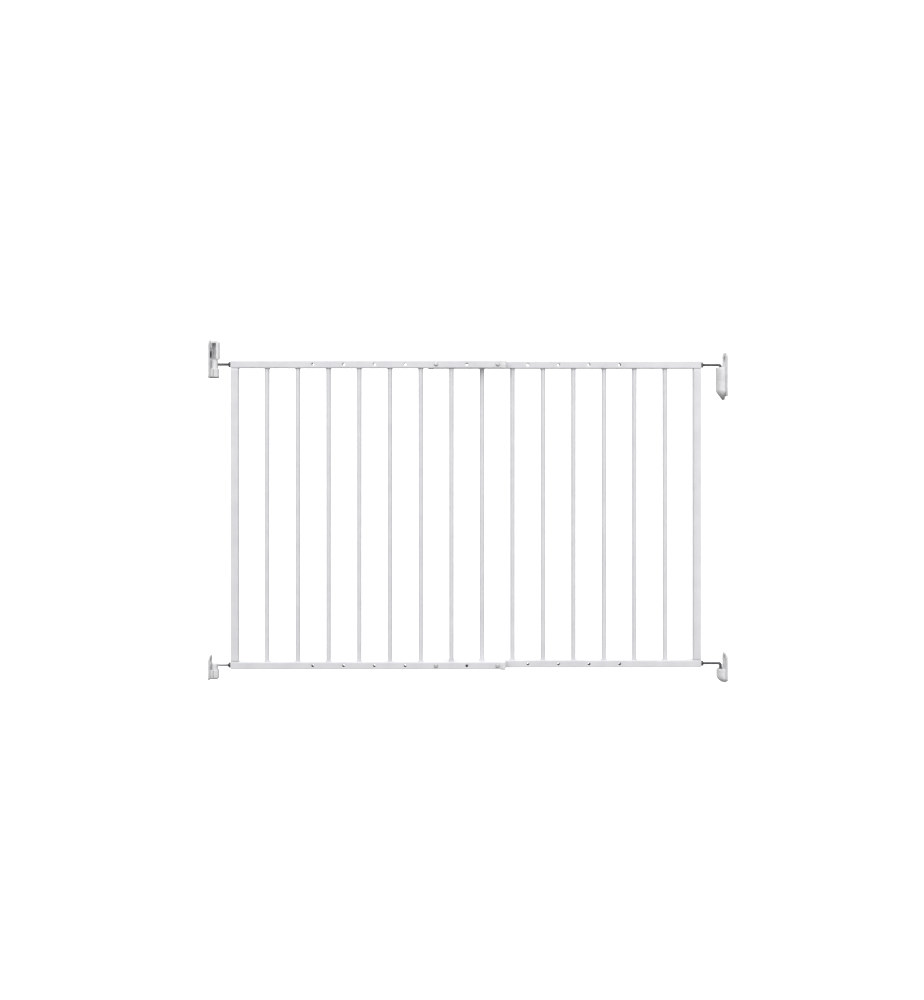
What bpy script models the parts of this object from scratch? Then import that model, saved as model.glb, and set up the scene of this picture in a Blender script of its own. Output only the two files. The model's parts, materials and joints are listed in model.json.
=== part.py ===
"""Extending wall-mounted safety gate: two overlapping bar panels on four wall brackets.

X runs from the hinge wall to the latch wall, Y through the gate, Z up. The origin is on the
hinge wall, level with the lower rail. The gate is shown lifted just clear of its latch sockets.
"""

import math

import bmesh
import bpy

# Panels
BAR_PITCH = 0.0636
BAR_DIAMETER = 0.010
BAR_WALL = 0.0010
BAR_COUNT = 7
TUBE = 0.016
TUBE_WALL = 0.0012
TUBE_CORNER = 0.0020
RAIL_SPACING = 0.6225
HOLE_COUNT = 7
SHARED_HOLES = 3
BOLT_HOLES = (4, 6)
RAIL_END_MARGIN = 0.0155

# Plastic sleeves on the rails' inner ends, and threaded inserts in their outer ends
CAP_WALL = 0.0006
CAP_END = 0.0012
INSERT_LENGTH = 0.022

# Clearances
GAP = 0.0003
SWING_CLEARANCE = 0.0006
STOP_CLEARANCE = 0.0002

# Clamp bolts through both panels, and all hexagon nuts
BOLT_RADIUS = 0.0024
BOLT_HEAD_RADIUS = 0.0040
BOLT_HEAD_HEIGHT = 0.0026
HEAD_EDGE_SHARE = 0.2
BOLT_SPARE = 0.0015
NUT_ACROSS_FLATS = 0.010
NUT_THICKNESS = 0.005

# L-shaped threaded spindles
ROD_RADIUS = 0.003
BEND_RADIUS = 0.004
ROD_INSIDE_RAIL = 0.030
HINGE_WALL_GAP = 0.0458
LATCH_WALL_GAP = 0.0537
LEG_FROM_WALL = 0.012
HINGE_LEG = 0.0185
LATCH_TOP_LEG = 0.0046
LATCH_BOTTOM_LEG = 0.0103

# How far the gate drops from here to its seats, how far it lifts, and the latch slider's travel
GATE_DROP = 0.005
GATE_RAISE = 0.0006
LATCH_TRAVEL = 0.008

# Wall brackets: heights are measured from the spindle's axis
PLATE_THICKNESS = 0.004
HINGE_PLATE_WIDTH = 0.030
LATCH_PLATE_WIDTH = 0.038
PLATE_TOP_CORNER = 0.0095
PLATE_FOOT_CORNER = 0.0037
POCKET_DEPTH = 0.0022
SCREW_HOLE_RADIUS = 0.0023
HINGE_TOP_PLATE = (-0.028, 0.051)
HINGE_BOTTOM_PLATE = (-0.0295, 0.021)
LATCH_TOP_PLATE = (-0.066, 0.026)
LATCH_BOTTOM_PLATE = (-0.034, 0.022)
HINGE_TOP_POCKET = (0.0205, 0.0085)
HINGE_BOTTOM_POCKET = (0.0115, 0.0060)
LATCH_TOP_POCKET = (0.0120, 0.0068)
LATCH_BOTTOM_POCKET = (0.0103, 0.0070)

# Hinge sockets, the bushes in them and the caps over the spindles' bends
CAP_THICKNESS = 0.0035
SOCKET_WALL = 0.0014
CAP_SKIRT_DEPTH = 0.0138
HINGE_TOP_CAP_HEIGHT = 0.0096
HINGE_BOTTOM_CAP_HEIGHT = 0.0044
BUSH_HEIGHT = 0.0066
HINGE_CUP_BULGE = 0.0009
HINGE_CUP_NARROWING = 0.0010
CUP_BULGE_SHARE = 0.25
CUP_SIDE_FACET = 0.66
CUP_FRONT_FACET = 0.30

# Lift stop above the top hinge
STOP_WIDTH = 0.016
STOP_WEB = 0.0055
STOP_BACK = 0.0027
STOP_REACH = 0.0168
STOP_TOP = 0.049
STOP_BRIDGE = 0.005
STOP_PANEL = 0.0025
STOP_BACK_FOOT = 0.033
CHEEK = 0.0015

# Latch sockets
LATCH_SOCKET_CLEARANCE = 0.002
PLAN_STRAIGHT_SHARE = 0.25
LATCH_CUP_REACH = 0.0205
LATCH_CUP_WIDTH = 0.030
LATCH_CUP_BOTTOM = 0.038
SLIDER_REACH = 0.0218
SLIDER_WIDTH = 0.030
SLIDER_SHOULDER = 0.054
SLIDER_TIP = 0.073
SLIDER_TIP_FROM_WALL = 0.0080
SLIDER_TIP_FLAT = 0.0022
SLIDER_FOOT_CURVE = ((0.25, 0.36), (0.72, 0.72))
NOTCH_CLEARANCE = 0.0007
KEY_WIDTH = 0.006
KEY_HEIGHT = 0.0022
KEY_TOP = 0.022
KEY_FOOT = 0.056

# Longer than any piece that it cuts through.
CUTTER_LENGTH = 0.2

# Sides on a full turn
BAR_SIDES = 16
HOLE_SIDES = 12
ROUND_SIDES = 24

# Derived layout
FIRST_BAR = TUBE + BAR_PITCH - BAR_DIAMETER / 2
FIRST_HOLE = FIRST_BAR + 1.5 * BAR_PITCH
LAST_HOLE = FIRST_HOLE + (HOLE_COUNT - 1) * BAR_PITCH
RAIL_LENGTH = LAST_HOLE + RAIL_END_MARGIN
NUT_CORNER = NUT_ACROSS_FLATS / 2 / math.cos(math.pi / 6)
CAP_COVER = RAIL_END_MARGIN - NUT_CORNER - GAP
FRAME_WIDTH = 2 * LAST_HOLE - (SHARED_HOLES - 1) * BAR_PITCH
OPENING_WIDTH = HINGE_WALL_GAP + FRAME_WIDTH + LATCH_WALL_GAP
CAP_HALF = TUBE / 2 + GAP + CAP_WALL
REAR_OFFSET = TUBE / 2 + CAP_HALF + GAP
BOLT_HOLE_RADIUS = BOLT_RADIUS + GAP
ROD_HOLE_RADIUS = ROD_RADIUS + GAP
CAP_RADIUS = ROD_HOLE_RADIUS + CAP_THICKNESS
LATCH_SOCKET_RADIUS = ROD_RADIUS + LATCH_SOCKET_CLEARANCE
HINGE_SOCKET_RADIUS = CAP_RADIUS + GAP
HINGE_RIM = ROD_RADIUS + GATE_DROP + SWING_CLEARANCE
BUSH_TOP = CAP_SKIRT_DEPTH + GAP
BUSH_FOOT = BUSH_TOP + BUSH_HEIGHT
HINGE_SOCKET_FLOOR = BUSH_FOOT + GATE_DROP + GAP
HINGE_CUP_FOOT = HINGE_SOCKET_FLOOR + SOCKET_WALL
LATCH_BOTTOM_RIM = LATCH_BOTTOM_LEG + SWING_CLEARANCE
LATCH_TOP_RIM = LATCH_TOP_LEG + SWING_CLEARANCE
SLIDING_FACE = PLATE_THICKNESS + GAP

parts = None
cutters = None


def clear_scene():
    for item in list(bpy.data.objects):
        bpy.data.objects.remove(item, do_unlink=True)


def new_collection(name):
    collection = bpy.data.collections.new(name)
    bpy.context.scene.collection.children.link(collection)
    return collection


def new_material(name, colour, roughness, metallic=0.0):
    material = bpy.data.materials.new(name)
    material.use_nodes = True
    shader = material.node_tree.nodes["Principled BSDF"]
    shader.inputs["Base Color"].default_value = (*colour, 1.0)
    shader.inputs["Roughness"].default_value = roughness
    shader.inputs["Metallic"].default_value = metallic
    return material


def white_paint():
    return new_material("white_powder_coat", (0.83, 0.83, 0.85), 0.38)


def white_plastic():
    return new_material("white_plastic", (0.85, 0.85, 0.86), 0.45)


def dark_steel():
    return new_material("dark_steel", (0.12, 0.12, 0.13), 0.35, 1.0)


def new_anchor(name, location, turn=0.0):
    """An empty that a group of pieces is placed from."""
    anchor = bpy.data.objects.new(name, None)
    anchor.location = location
    anchor.rotation_euler = (0, 0, turn)
    parts.objects.link(anchor)
    return anchor


def add_object(name, mesh, material, parent, location=(0, 0, 0), rotation=(0, 0, 0)):
    piece = bpy.data.objects.new(name, mesh)
    piece.location = location
    piece.rotation_euler = rotation
    piece.parent = parent
    if material is None:
        piece.hide_render = True
        piece.display_type = "WIRE"
        cutters.objects.link(piece)
    else:
        if not mesh.materials:
            mesh.materials.append(material)
        parts.objects.link(piece)
    return piece


def smooth(mesh, angle=40):
    mesh.shade_smooth()
    mesh.set_sharp_from_angle(angle=math.radians(angle))


def curve_to_mesh(name, curve):
    """The evaluated mesh of a curve, with its caps welded on."""
    holder = bpy.data.objects.new(name + "_outline", curve)
    bpy.context.scene.collection.objects.link(holder)
    evaluated = holder.evaluated_get(bpy.context.evaluated_depsgraph_get())
    mesh = bpy.data.meshes.new_from_object(evaluated)
    mesh.name = name
    bpy.data.objects.remove(holder, do_unlink=True)
    shape = bmesh.new()
    shape.from_mesh(mesh)
    bmesh.ops.remove_doubles(shape, verts=shape.verts, dist=0.00001)
    bmesh.ops.recalc_face_normals(shape, faces=shape.faces)
    shape.to_mesh(mesh)
    shape.free()
    smooth(mesh)
    return mesh


def extruded(name, outlines, length):
    """A prism along Z, centred on it. The first outline is the outside, the others are holes."""
    curve = bpy.data.curves.new(name, "CURVE")
    curve.dimensions = "2D"
    curve.fill_mode = "BOTH"
    curve.extrude = length / 2
    for outline in outlines:
        spline = curve.splines.new("POLY")
        spline.points.add(len(outline) - 1)
        for point, (x, y) in zip(spline.points, outline):
            point.co = (x, y, 0, 1)
        spline.use_cyclic_u = True
    return curve_to_mesh(name, curve)


def swept(name, route, radius):
    """A round rod along a route of points."""
    curve = bpy.data.curves.new(name, "CURVE")
    curve.dimensions = "3D"
    curve.bevel_depth = radius
    curve.bevel_resolution = 2
    curve.use_fill_caps = True
    spline = curve.splines.new("POLY")
    spline.points.add(len(route) - 1)
    for point, place in zip(spline.points, route):
        point.co = (*place, 1)
    return curve_to_mesh(name, curve)


def turned(name, profile, steps):
    """A turned solid about Z. The profile runs down the outer side, from the axis to the axis."""
    shape = bmesh.new()
    ring = [shape.verts.new((radius, 0, height)) for radius, height in profile]
    for upper, lower in zip(ring, ring[1:]):
        shape.edges.new((upper, lower))
    mesh = bpy.data.meshes.new(name)
    shape.to_mesh(mesh)
    shape.free()
    holder = bpy.data.objects.new(name + "_profile", mesh)
    bpy.context.scene.collection.objects.link(holder)
    screw = holder.modifiers.new("turn", "SCREW")
    screw.axis = "Z"
    screw.angle = math.tau
    screw.steps = steps
    screw.render_steps = steps
    screw.use_merge_vertices = True
    screw.merge_threshold = 0.00001
    screw.use_smooth_shade = True
    evaluated = holder.evaluated_get(bpy.context.evaluated_depsgraph_get())
    solid = bpy.data.meshes.new_from_object(evaluated)
    solid.name = name
    bpy.data.objects.remove(holder, do_unlink=True)
    shape = bmesh.new()
    shape.from_mesh(solid)
    bmesh.ops.remove_doubles(shape, verts=shape.verts, dist=0.00001)
    bmesh.ops.recalc_face_normals(shape, faces=shape.faces)
    shape.to_mesh(solid)
    shape.free()
    smooth(solid)
    return solid


def box_mesh(name, low, high):
    shape = bmesh.new()
    bmesh.ops.create_cube(shape, size=1.0)
    for vertex in shape.verts:
        for axis in range(3):
            middle = (low[axis] + high[axis]) / 2
            vertex.co[axis] = middle + vertex.co[axis] * (high[axis] - low[axis])
    mesh = bpy.data.meshes.new(name)
    shape.to_mesh(mesh)
    shape.free()
    return mesh


def circle(radius, sides, centre=(0.0, 0.0)):
    turn = math.tau / sides
    return [
        (centre[0] + radius * math.cos(i * turn), centre[1] + radius * math.sin(i * turn))
        for i in range(sides)
    ]


def hexagon(across_flats):
    return circle(across_flats / 2 / math.cos(math.pi / 6), 6)


def rounded_square(width, corner, steps=3):
    points = []
    for quarter in range(4):
        start = quarter * math.pi / 2
        reach = width / 2 - corner
        centre_x = reach * (1 if quarter in (0, 3) else -1)
        centre_y = reach * (1 if quarter in (0, 1) else -1)
        for step in range(steps + 1):
            angle = start + step / steps * math.pi / 2
            points.append((centre_x + corner * math.cos(angle), centre_y + corner * math.sin(angle)))
    return points


def boolean(piece, tool, operation):
    modifier = piece.modifiers.new(operation.lower() + "_" + tool.name, "BOOLEAN")
    modifier.operation = operation
    modifier.solver = "EXACT"
    modifier.object = tool


def square_tube_mesh(name, length):
    outer = rounded_square(TUBE, TUBE_CORNER)
    inner = rounded_square(TUBE - 2 * TUBE_WALL, TUBE_CORNER - TUBE_WALL)
    return extruded(name, [outer, inner], length)


ALONG_X = (0, math.pi / 2, 0)
ALONG_Y = (math.pi / 2, 0, 0)
DRILL_TURN = (math.pi / 2, math.pi / HOLE_SIDES, 0)


def make_rail(name, paint, panel, height):
    """A square tube along X with the adjustment holes through its front and back walls."""
    mesh = square_tube_mesh(name, RAIL_LENGTH)
    rail = add_object(name, mesh, paint, panel, (RAIL_LENGTH / 2, 0, height), ALONG_X)
    drill = extruded(name + "_drill", [circle(BOLT_HOLE_RADIUS, HOLE_SIDES)], 2 * TUBE)
    for number in range(HOLE_COUNT):
        place = (FIRST_HOLE + number * BAR_PITCH, 0, height)
        # turned half a facet, so that no corners of two holes lie in one line
        cutter = add_object(f"{name}_drill_{number + 1}", drill, None, panel, place, DRILL_TURN)
        boolean(rail, cutter, "DIFFERENCE")


def make_upright(name, paint, panel):
    mesh = square_tube_mesh(name, RAIL_SPACING - TUBE - 2 * GAP)
    add_object(name, mesh, paint, panel, (TUBE / 2, 0, RAIL_SPACING / 2))


def make_bars(side, paint, panel):
    rings = [circle(BAR_DIAMETER / 2, BAR_SIDES), circle(BAR_DIAMETER / 2 - BAR_WALL, BAR_SIDES)]
    mesh = extruded(side + "_bar", rings, RAIL_SPACING - TUBE - 2 * GAP)
    for number in range(BAR_COUNT):
        place = (FIRST_BAR + number * BAR_PITCH, 0, RAIL_SPACING / 2)
        add_object(f"{side}_bar_{number + 1}", mesh, paint, panel, place)


def make_end_cap(name, plastic, panel, height):
    """A sleeve closed at its far end, over the rail's inner end."""
    start = RAIL_LENGTH - CAP_COVER
    end = RAIL_LENGTH + GAP + CAP_END
    mesh = extruded(name, [rounded_square(2 * CAP_HALF, TUBE_CORNER + CAP_WALL)], end - start)
    cap = add_object(name, mesh, plastic, panel, ((start + end) / 2, 0, height), ALONG_X)
    bore_end = RAIL_LENGTH + GAP
    bore_start = start - CAP_COVER
    bore = extruded(
        name + "_bore", [rounded_square(TUBE + 2 * GAP, TUBE_CORNER)], bore_end - bore_start
    )
    place = ((bore_start + bore_end) / 2, 0, height)
    boolean(cap, add_object(name + "_bore", bore, None, panel, place, ALONG_X), "DIFFERENCE")


def make_insert(name, plastic, panel, height):
    """The threaded plug that a spindle screws into."""
    width = TUBE - 2 * TUBE_WALL - 2 * GAP
    outlines = [rounded_square(width, TUBE_CORNER - TUBE_WALL), circle(ROD_HOLE_RADIUS, HOLE_SIDES)]
    mesh = extruded(name, outlines, INSERT_LENGTH)
    add_object(name, mesh, plastic, panel, (INSERT_LENGTH / 2 + GAP, 0, height), ALONG_X)


def make_lock_nut(name, steel, panel, height):
    outlines = [hexagon(NUT_ACROSS_FLATS), circle(ROD_HOLE_RADIUS, HOLE_SIDES)]
    mesh = extruded(name, outlines, NUT_THICKNESS)
    place = (-GAP - NUT_THICKNESS / 2, 0, height)
    add_object(name, mesh, steel, panel, place, ALONG_X)


def make_panel(side, fixing, location, turn, materials):
    """One panel, laid out from its outer lower corner inwards."""
    panel = new_anchor(side + "_panel", location, turn)
    make_upright(side + "_upright", materials["paint"], panel)
    make_bars(side, materials["paint"], panel)
    for level, height in (("bottom", 0.0), ("top", RAIL_SPACING)):
        make_rail(f"{side}_{level}_rail", materials["paint"], panel, height)
        make_end_cap(f"{side}_{level}_end_cap", materials["plastic"], panel, height)
        make_insert(f"{side}_{level}_insert", materials["plastic"], panel, height)
        make_lock_nut(f"{fixing}_{level}_lock_nut", materials["steel"], panel, height)


def dome_bolt_profile(head_radius, head_height, shank_radius, length):
    profile = [(0.0, head_height)]
    for step in range(1, 5):
        angle = step / 4 * math.pi / 2
        height = head_height * (HEAD_EDGE_SHARE + (1 - HEAD_EDGE_SHARE) * math.cos(angle))
        profile.append((head_radius * math.sin(angle), height))
    profile.append((head_radius, 0.0))
    profile.append((shank_radius, 0.0))
    profile.append((shank_radius, -length))
    profile.append((0.0, -length))
    return profile


def make_clamp_bolts(steel):
    """Bolts from the front through both panels' rails, each with a nut behind."""
    head_face = -TUBE / 2 - GAP
    nut_face = REAR_OFFSET + TUBE / 2 + GAP
    length = nut_face + NUT_THICKNESS + BOLT_SPARE - head_face
    profile = dome_bolt_profile(BOLT_HEAD_RADIUS, BOLT_HEAD_HEIGHT, BOLT_RADIUS, length)
    bolt = turned("clamp_bolt", profile, HOLE_SIDES)
    nut_outlines = [hexagon(NUT_ACROSS_FLATS), circle(BOLT_HOLE_RADIUS, HOLE_SIDES)]
    nut = extruded("clamp_nut", nut_outlines, NUT_THICKNESS)
    for level, height in (("bottom", 0.0), ("top", RAIL_SPACING)):
        for place, hole in zip(("inner", "outer"), BOLT_HOLES):
            x = HINGE_WALL_GAP + FIRST_HOLE + hole * BAR_PITCH
            name = f"{level}_{place}_clamp"
            add_object(name + "_bolt", bolt, steel, None, (x, head_face, height), ALONG_Y)
            nut_middle = nut_face + NUT_THICKNESS / 2
            add_object(name + "_nut", nut, steel, None, (x, nut_middle, height), ALONG_Y)


def spindle_route(leg_length, rod_end):
    """From the leg's foot up, round the bend and out along the rod."""
    route = [(LEG_FROM_WALL, 0, -leg_length)]
    for step in range(7):
        angle = step / 6 * math.pi / 2
        x = LEG_FROM_WALL + BEND_RADIUS * (1 - math.cos(angle))
        route.append((x, 0, -BEND_RADIUS * (1 - math.sin(angle))))
    route.append((rod_end, 0, 0))
    return route


def make_spindle(name, steel, bracket, leg_length, wall_gap):
    route = spindle_route(leg_length, wall_gap + ROD_INSIDE_RAIL)
    add_object(name, swept(name, route, ROD_RADIUS), steel, bracket)


def rounded_plate_outline(width, foot, top):
    """A plate seen from the gate: Y across and Z up, rounded more at the top than at the foot."""
    half = width / 2
    corners = (
        (half, top, PLATE_TOP_CORNER, 0.0),
        (-half, top, PLATE_TOP_CORNER, math.pi / 2),
        (-half, foot, PLATE_FOOT_CORNER, math.pi),
        (half, foot, PLATE_FOOT_CORNER, 1.5 * math.pi),
    )
    points = []
    for across, height, radius, start in corners:
        middle_across = across - math.copysign(radius, across)
        middle_height = height - radius if height == top else height + radius
        for step in range(7):
            angle = start + step / 6 * math.pi / 2
            x = middle_across + radius * math.cos(angle)
            points.append((x, middle_height + radius * math.sin(angle)))
    return points


FACING_GATE = (math.pi / 2, 0, math.pi / 2)


def make_bracket_plate(name, plastic, bracket, width, heights, pocket):
    """The wall plate with the round pocket for its screw."""
    foot, top = heights
    height, radius = pocket
    mesh = extruded(name, [rounded_plate_outline(width, foot, top)], PLATE_THICKNESS)
    plate = add_object(name, mesh, plastic, bracket, (PLATE_THICKNESS / 2, 0, 0), FACING_GATE)
    recess = extruded(name + "_pocket", [circle(radius, ROUND_SIDES)], 2 * POCKET_DEPTH)
    place = (PLATE_THICKNESS, 0, height)
    boolean(plate, add_object(name + "_pocket", recess, None, bracket, place, ALONG_X), "DIFFERENCE")
    drill = extruded(
        name + "_drill", [circle(SCREW_HOLE_RADIUS, HOLE_SIDES)], 4 * PLATE_THICKNESS
    )
    place = (0, 0, height)
    boolean(plate, add_object(name + "_drill", drill, None, bracket, place, ALONG_X), "DIFFERENCE")
    return plate


def common_block(name, bracket, side_outline, plan_outline):
    """The solid that has the one outline from the front and the other from above."""
    side = extruded(name + "_side", [side_outline], CUTTER_LENGTH)
    block = add_object(name + "_side", side, None, bracket, (0, 0, 0), ALONG_Y)
    plan = extruded(name + "_plan", [plan_outline], CUTTER_LENGTH)
    column = add_object(name + "_plan", plan, None, bracket)
    boolean(block, column, "INTERSECT")
    return block


def socket_cutter(name, bracket, radius, floor, top):
    mesh = extruded(name, [circle(radius, ROUND_SIDES)], top - floor)
    return add_object(name, mesh, None, bracket, (LEG_FROM_WALL, 0, (floor + top) / 2))


def hinge_cup_outlines(bulge):
    """The hinge socket's front outline, which may bulge and narrow, and its faceted plan."""
    reach = LEG_FROM_WALL + HINGE_SOCKET_RADIUS + SOCKET_WALL
    inside = PLATE_THICKNESS / 2
    side = [(inside, -HINGE_RIM), (inside, -HINGE_CUP_FOOT)]
    side.append((reach - bulge * HINGE_CUP_NARROWING, -HINGE_CUP_FOOT))
    widest = -HINGE_RIM - CUP_BULGE_SHARE * (HINGE_CUP_FOOT - HINGE_RIM)
    side.append((reach + bulge * HINGE_CUP_BULGE, widest))
    side.append((reach, -HINGE_RIM))
    half = HINGE_SOCKET_RADIUS + SOCKET_WALL
    far = reach + HINGE_CUP_BULGE
    plan = [(0, half), (0, -half), (LEG_FROM_WALL - ROD_RADIUS / 2, -half - SOCKET_WALL / 2)]
    plan.append((far - SOCKET_WALL, -CUP_SIDE_FACET * half))
    plan.append((far, -CUP_FRONT_FACET * half))
    plan.append((far, CUP_FRONT_FACET * half))
    plan.append((far - SOCKET_WALL, CUP_SIDE_FACET * half))
    plan.append((LEG_FROM_WALL - ROD_RADIUS / 2, half + SOCKET_WALL / 2))
    return side, plan


def make_hinge_bracket(level, bracket, materials, heights, pocket, bulge):
    name = f"hinge_{level}_bracket"
    plastic = materials["plastic"]
    plate = make_bracket_plate(name, plastic, bracket, HINGE_PLATE_WIDTH, heights, pocket)
    side, plan = hinge_cup_outlines(bulge)
    block = common_block(name + "_cup", bracket, side, plan)
    boolean(plate, block, "UNION")
    socket = socket_cutter(
        name + "_socket", bracket, HINGE_SOCKET_RADIUS, -HINGE_SOCKET_FLOOR, 0.0
    )
    boolean(plate, socket, "DIFFERENCE")
    return plate


def make_hinge_bush(level, plastic, bracket):
    """The bush that the spindle's leg turns in. It rides up and down the socket with the gate."""
    name = f"hinge_{level}_bush"
    mesh = extruded(name, [circle(CAP_RADIUS, ROUND_SIDES)], BUSH_HEIGHT)
    bush = add_object(
        name, mesh, plastic, bracket, (LEG_FROM_WALL, 0, -(BUSH_TOP + BUSH_FOOT) / 2)
    )
    bore = socket_cutter(name + "_bore", bracket, ROD_HOLE_RADIUS, -HINGE_LEG - GAP, 0.0)
    boolean(bush, bore, "DIFFERENCE")


def make_elbow_cap(level, plastic, bracket, height, wall_gap):
    """The round cap over the spindle's bend. Its skirt slides in the socket."""
    name = f"hinge_{level}_elbow_cap"
    mesh = extruded(name, [circle(CAP_RADIUS, ROUND_SIDES)], height + CAP_SKIRT_DEPTH)
    place = (LEG_FROM_WALL, 0, (height - CAP_SKIRT_DEPTH) / 2)
    cap = add_object(name, mesh, plastic, bracket, place)
    route = spindle_route(2 * HINGE_LEG, wall_gap)
    bore = swept(name + "_bore", route, ROD_HOLE_RADIUS)
    boolean(cap, add_object(name + "_bore", bore, None, bracket), "DIFFERENCE")


def make_lift_stop(plastic, bracket, plate):
    """The hook over the top hinge that limits the lift, and the cheeks that guide it."""
    foot = HINGE_TOP_CAP_HEIGHT + GATE_RAISE + STOP_CLEARANCE
    reach = SLIDING_FACE + STOP_REACH
    outline = [(SLIDING_FACE, STOP_TOP), (SLIDING_FACE, STOP_BACK_FOOT)]
    outline.append((SLIDING_FACE + STOP_BACK / 2, STOP_BACK_FOOT))
    outline.append((SLIDING_FACE + STOP_BACK / 2, foot))
    outline.append((reach, foot))
    for step in range(4):
        angle = step / 3 * math.pi / 2
        x = reach - STOP_BRIDGE + STOP_BRIDGE * math.cos(angle)
        outline.append((x, STOP_TOP - STOP_BRIDGE + STOP_BRIDGE * math.sin(angle)))
    mesh = extruded("hinge_lift_stop", [outline], STOP_WIDTH)
    stop = add_object("hinge_lift_stop", mesh, plastic, bracket, (0, 0, 0), ALONG_Y)
    hollow = [(0, foot - STOP_BRIDGE), (reach - STOP_WEB, foot - STOP_BRIDGE)]
    hollow.append((reach - STOP_WEB, STOP_TOP - STOP_BRIDGE))
    hollow.append((SLIDING_FACE + STOP_BACK, STOP_TOP - STOP_BRIDGE))
    hollow.append((SLIDING_FACE + STOP_BACK, STOP_BACK_FOOT))
    hollow.append((0, STOP_BACK_FOOT))
    cutter = extruded("hinge_lift_stop_hollow", [hollow], CUTTER_LENGTH)
    place = (0, STOP_WIDTH / 2 - STOP_PANEL - CUTTER_LENGTH / 2, 0)
    tool = add_object("hinge_lift_stop_hollow", cutter, None, bracket, place, ALONG_Y)
    boolean(stop, tool, "DIFFERENCE")
    for label, side in (("front", -1), ("back", 1)):
        inner = side * (STOP_WIDTH / 2 + GAP)
        outer = inner + side * CHEEK
        low = (PLATE_THICKNESS / 2, min(inner, outer), STOP_BACK_FOOT)
        high = (SLIDING_FACE + STOP_BACK, max(inner, outer), STOP_TOP - 2 * STOP_BRIDGE)
        name = f"hinge_top_bracket_{label}_cheek"
        boolean(plate, add_object(name, box_mesh(name, low, high), None, bracket), "UNION")


def half_ellipse_plan(start, reach, width):
    """A plan that leaves the wall square and ends round."""
    straight = PLAN_STRAIGHT_SHARE * (reach - start)
    points = [(start, width / 2), (start, -width / 2)]
    for step in range(13):
        angle = -math.pi / 2 + step / 12 * math.pi
        x = start + straight + (reach - start - straight) * math.cos(angle)
        points.append((x, width / 2 * math.sin(angle)))
    return points


def make_latch_bottom_bracket(bracket, materials):
    """The lower latch bracket: a round-bottomed cup with the socket that the leg drops into."""
    name = "latch_bottom_bracket"
    plate = make_bracket_plate(
        name,
        materials["plastic"],
        bracket,
        LATCH_PLATE_WIDTH,
        LATCH_BOTTOM_PLATE,
        LATCH_BOTTOM_POCKET,
    )
    inside = PLATE_THICKNESS / 2
    reach = LATCH_CUP_REACH
    curve_start = (LATCH_BOTTOM_RIM + LATCH_CUP_BOTTOM) / 2
    side = [(inside, -LATCH_BOTTOM_RIM), (inside, -LATCH_CUP_BOTTOM + PLATE_THICKNESS)]
    belly = LEG_FROM_WALL / 2
    for step in range(9):
        angle = step / 8 * math.pi / 2
        x = belly + (reach - belly) * math.sin(angle)
        z = -curve_start - (LATCH_CUP_BOTTOM - curve_start) * math.cos(angle)
        side.append((x, z))
    side.append((reach, -LATCH_BOTTOM_RIM))
    plan = half_ellipse_plan(0, reach + GAP, LATCH_CUP_WIDTH)
    block = common_block(name + "_cup", bracket, side, plan)
    boolean(plate, block, "UNION")
    floor = LATCH_BOTTOM_LEG + GATE_DROP + SWING_CLEARANCE
    socket = socket_cutter(name + "_socket", bracket, LATCH_SOCKET_RADIUS, -floor, 0.0)
    boolean(plate, socket, "DIFFERENCE")


def make_latch_top_bracket(bracket, materials):
    """The upper latch bracket: a tall plate with the key that the slider runs on."""
    name = "latch_top_bracket"
    plate = make_bracket_plate(
        name,
        materials["plastic"],
        bracket,
        LATCH_PLATE_WIDTH,
        LATCH_TOP_PLATE,
        LATCH_TOP_POCKET,
    )
    low = (PLATE_THICKNESS / 2, -KEY_WIDTH / 2, -KEY_FOOT)
    high = (PLATE_THICKNESS + KEY_HEIGHT, KEY_WIDTH / 2, -KEY_TOP)
    key = add_object(name + "_key", box_mesh(name + "_key", low, high), None, bracket)
    boolean(plate, key, "UNION")


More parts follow.
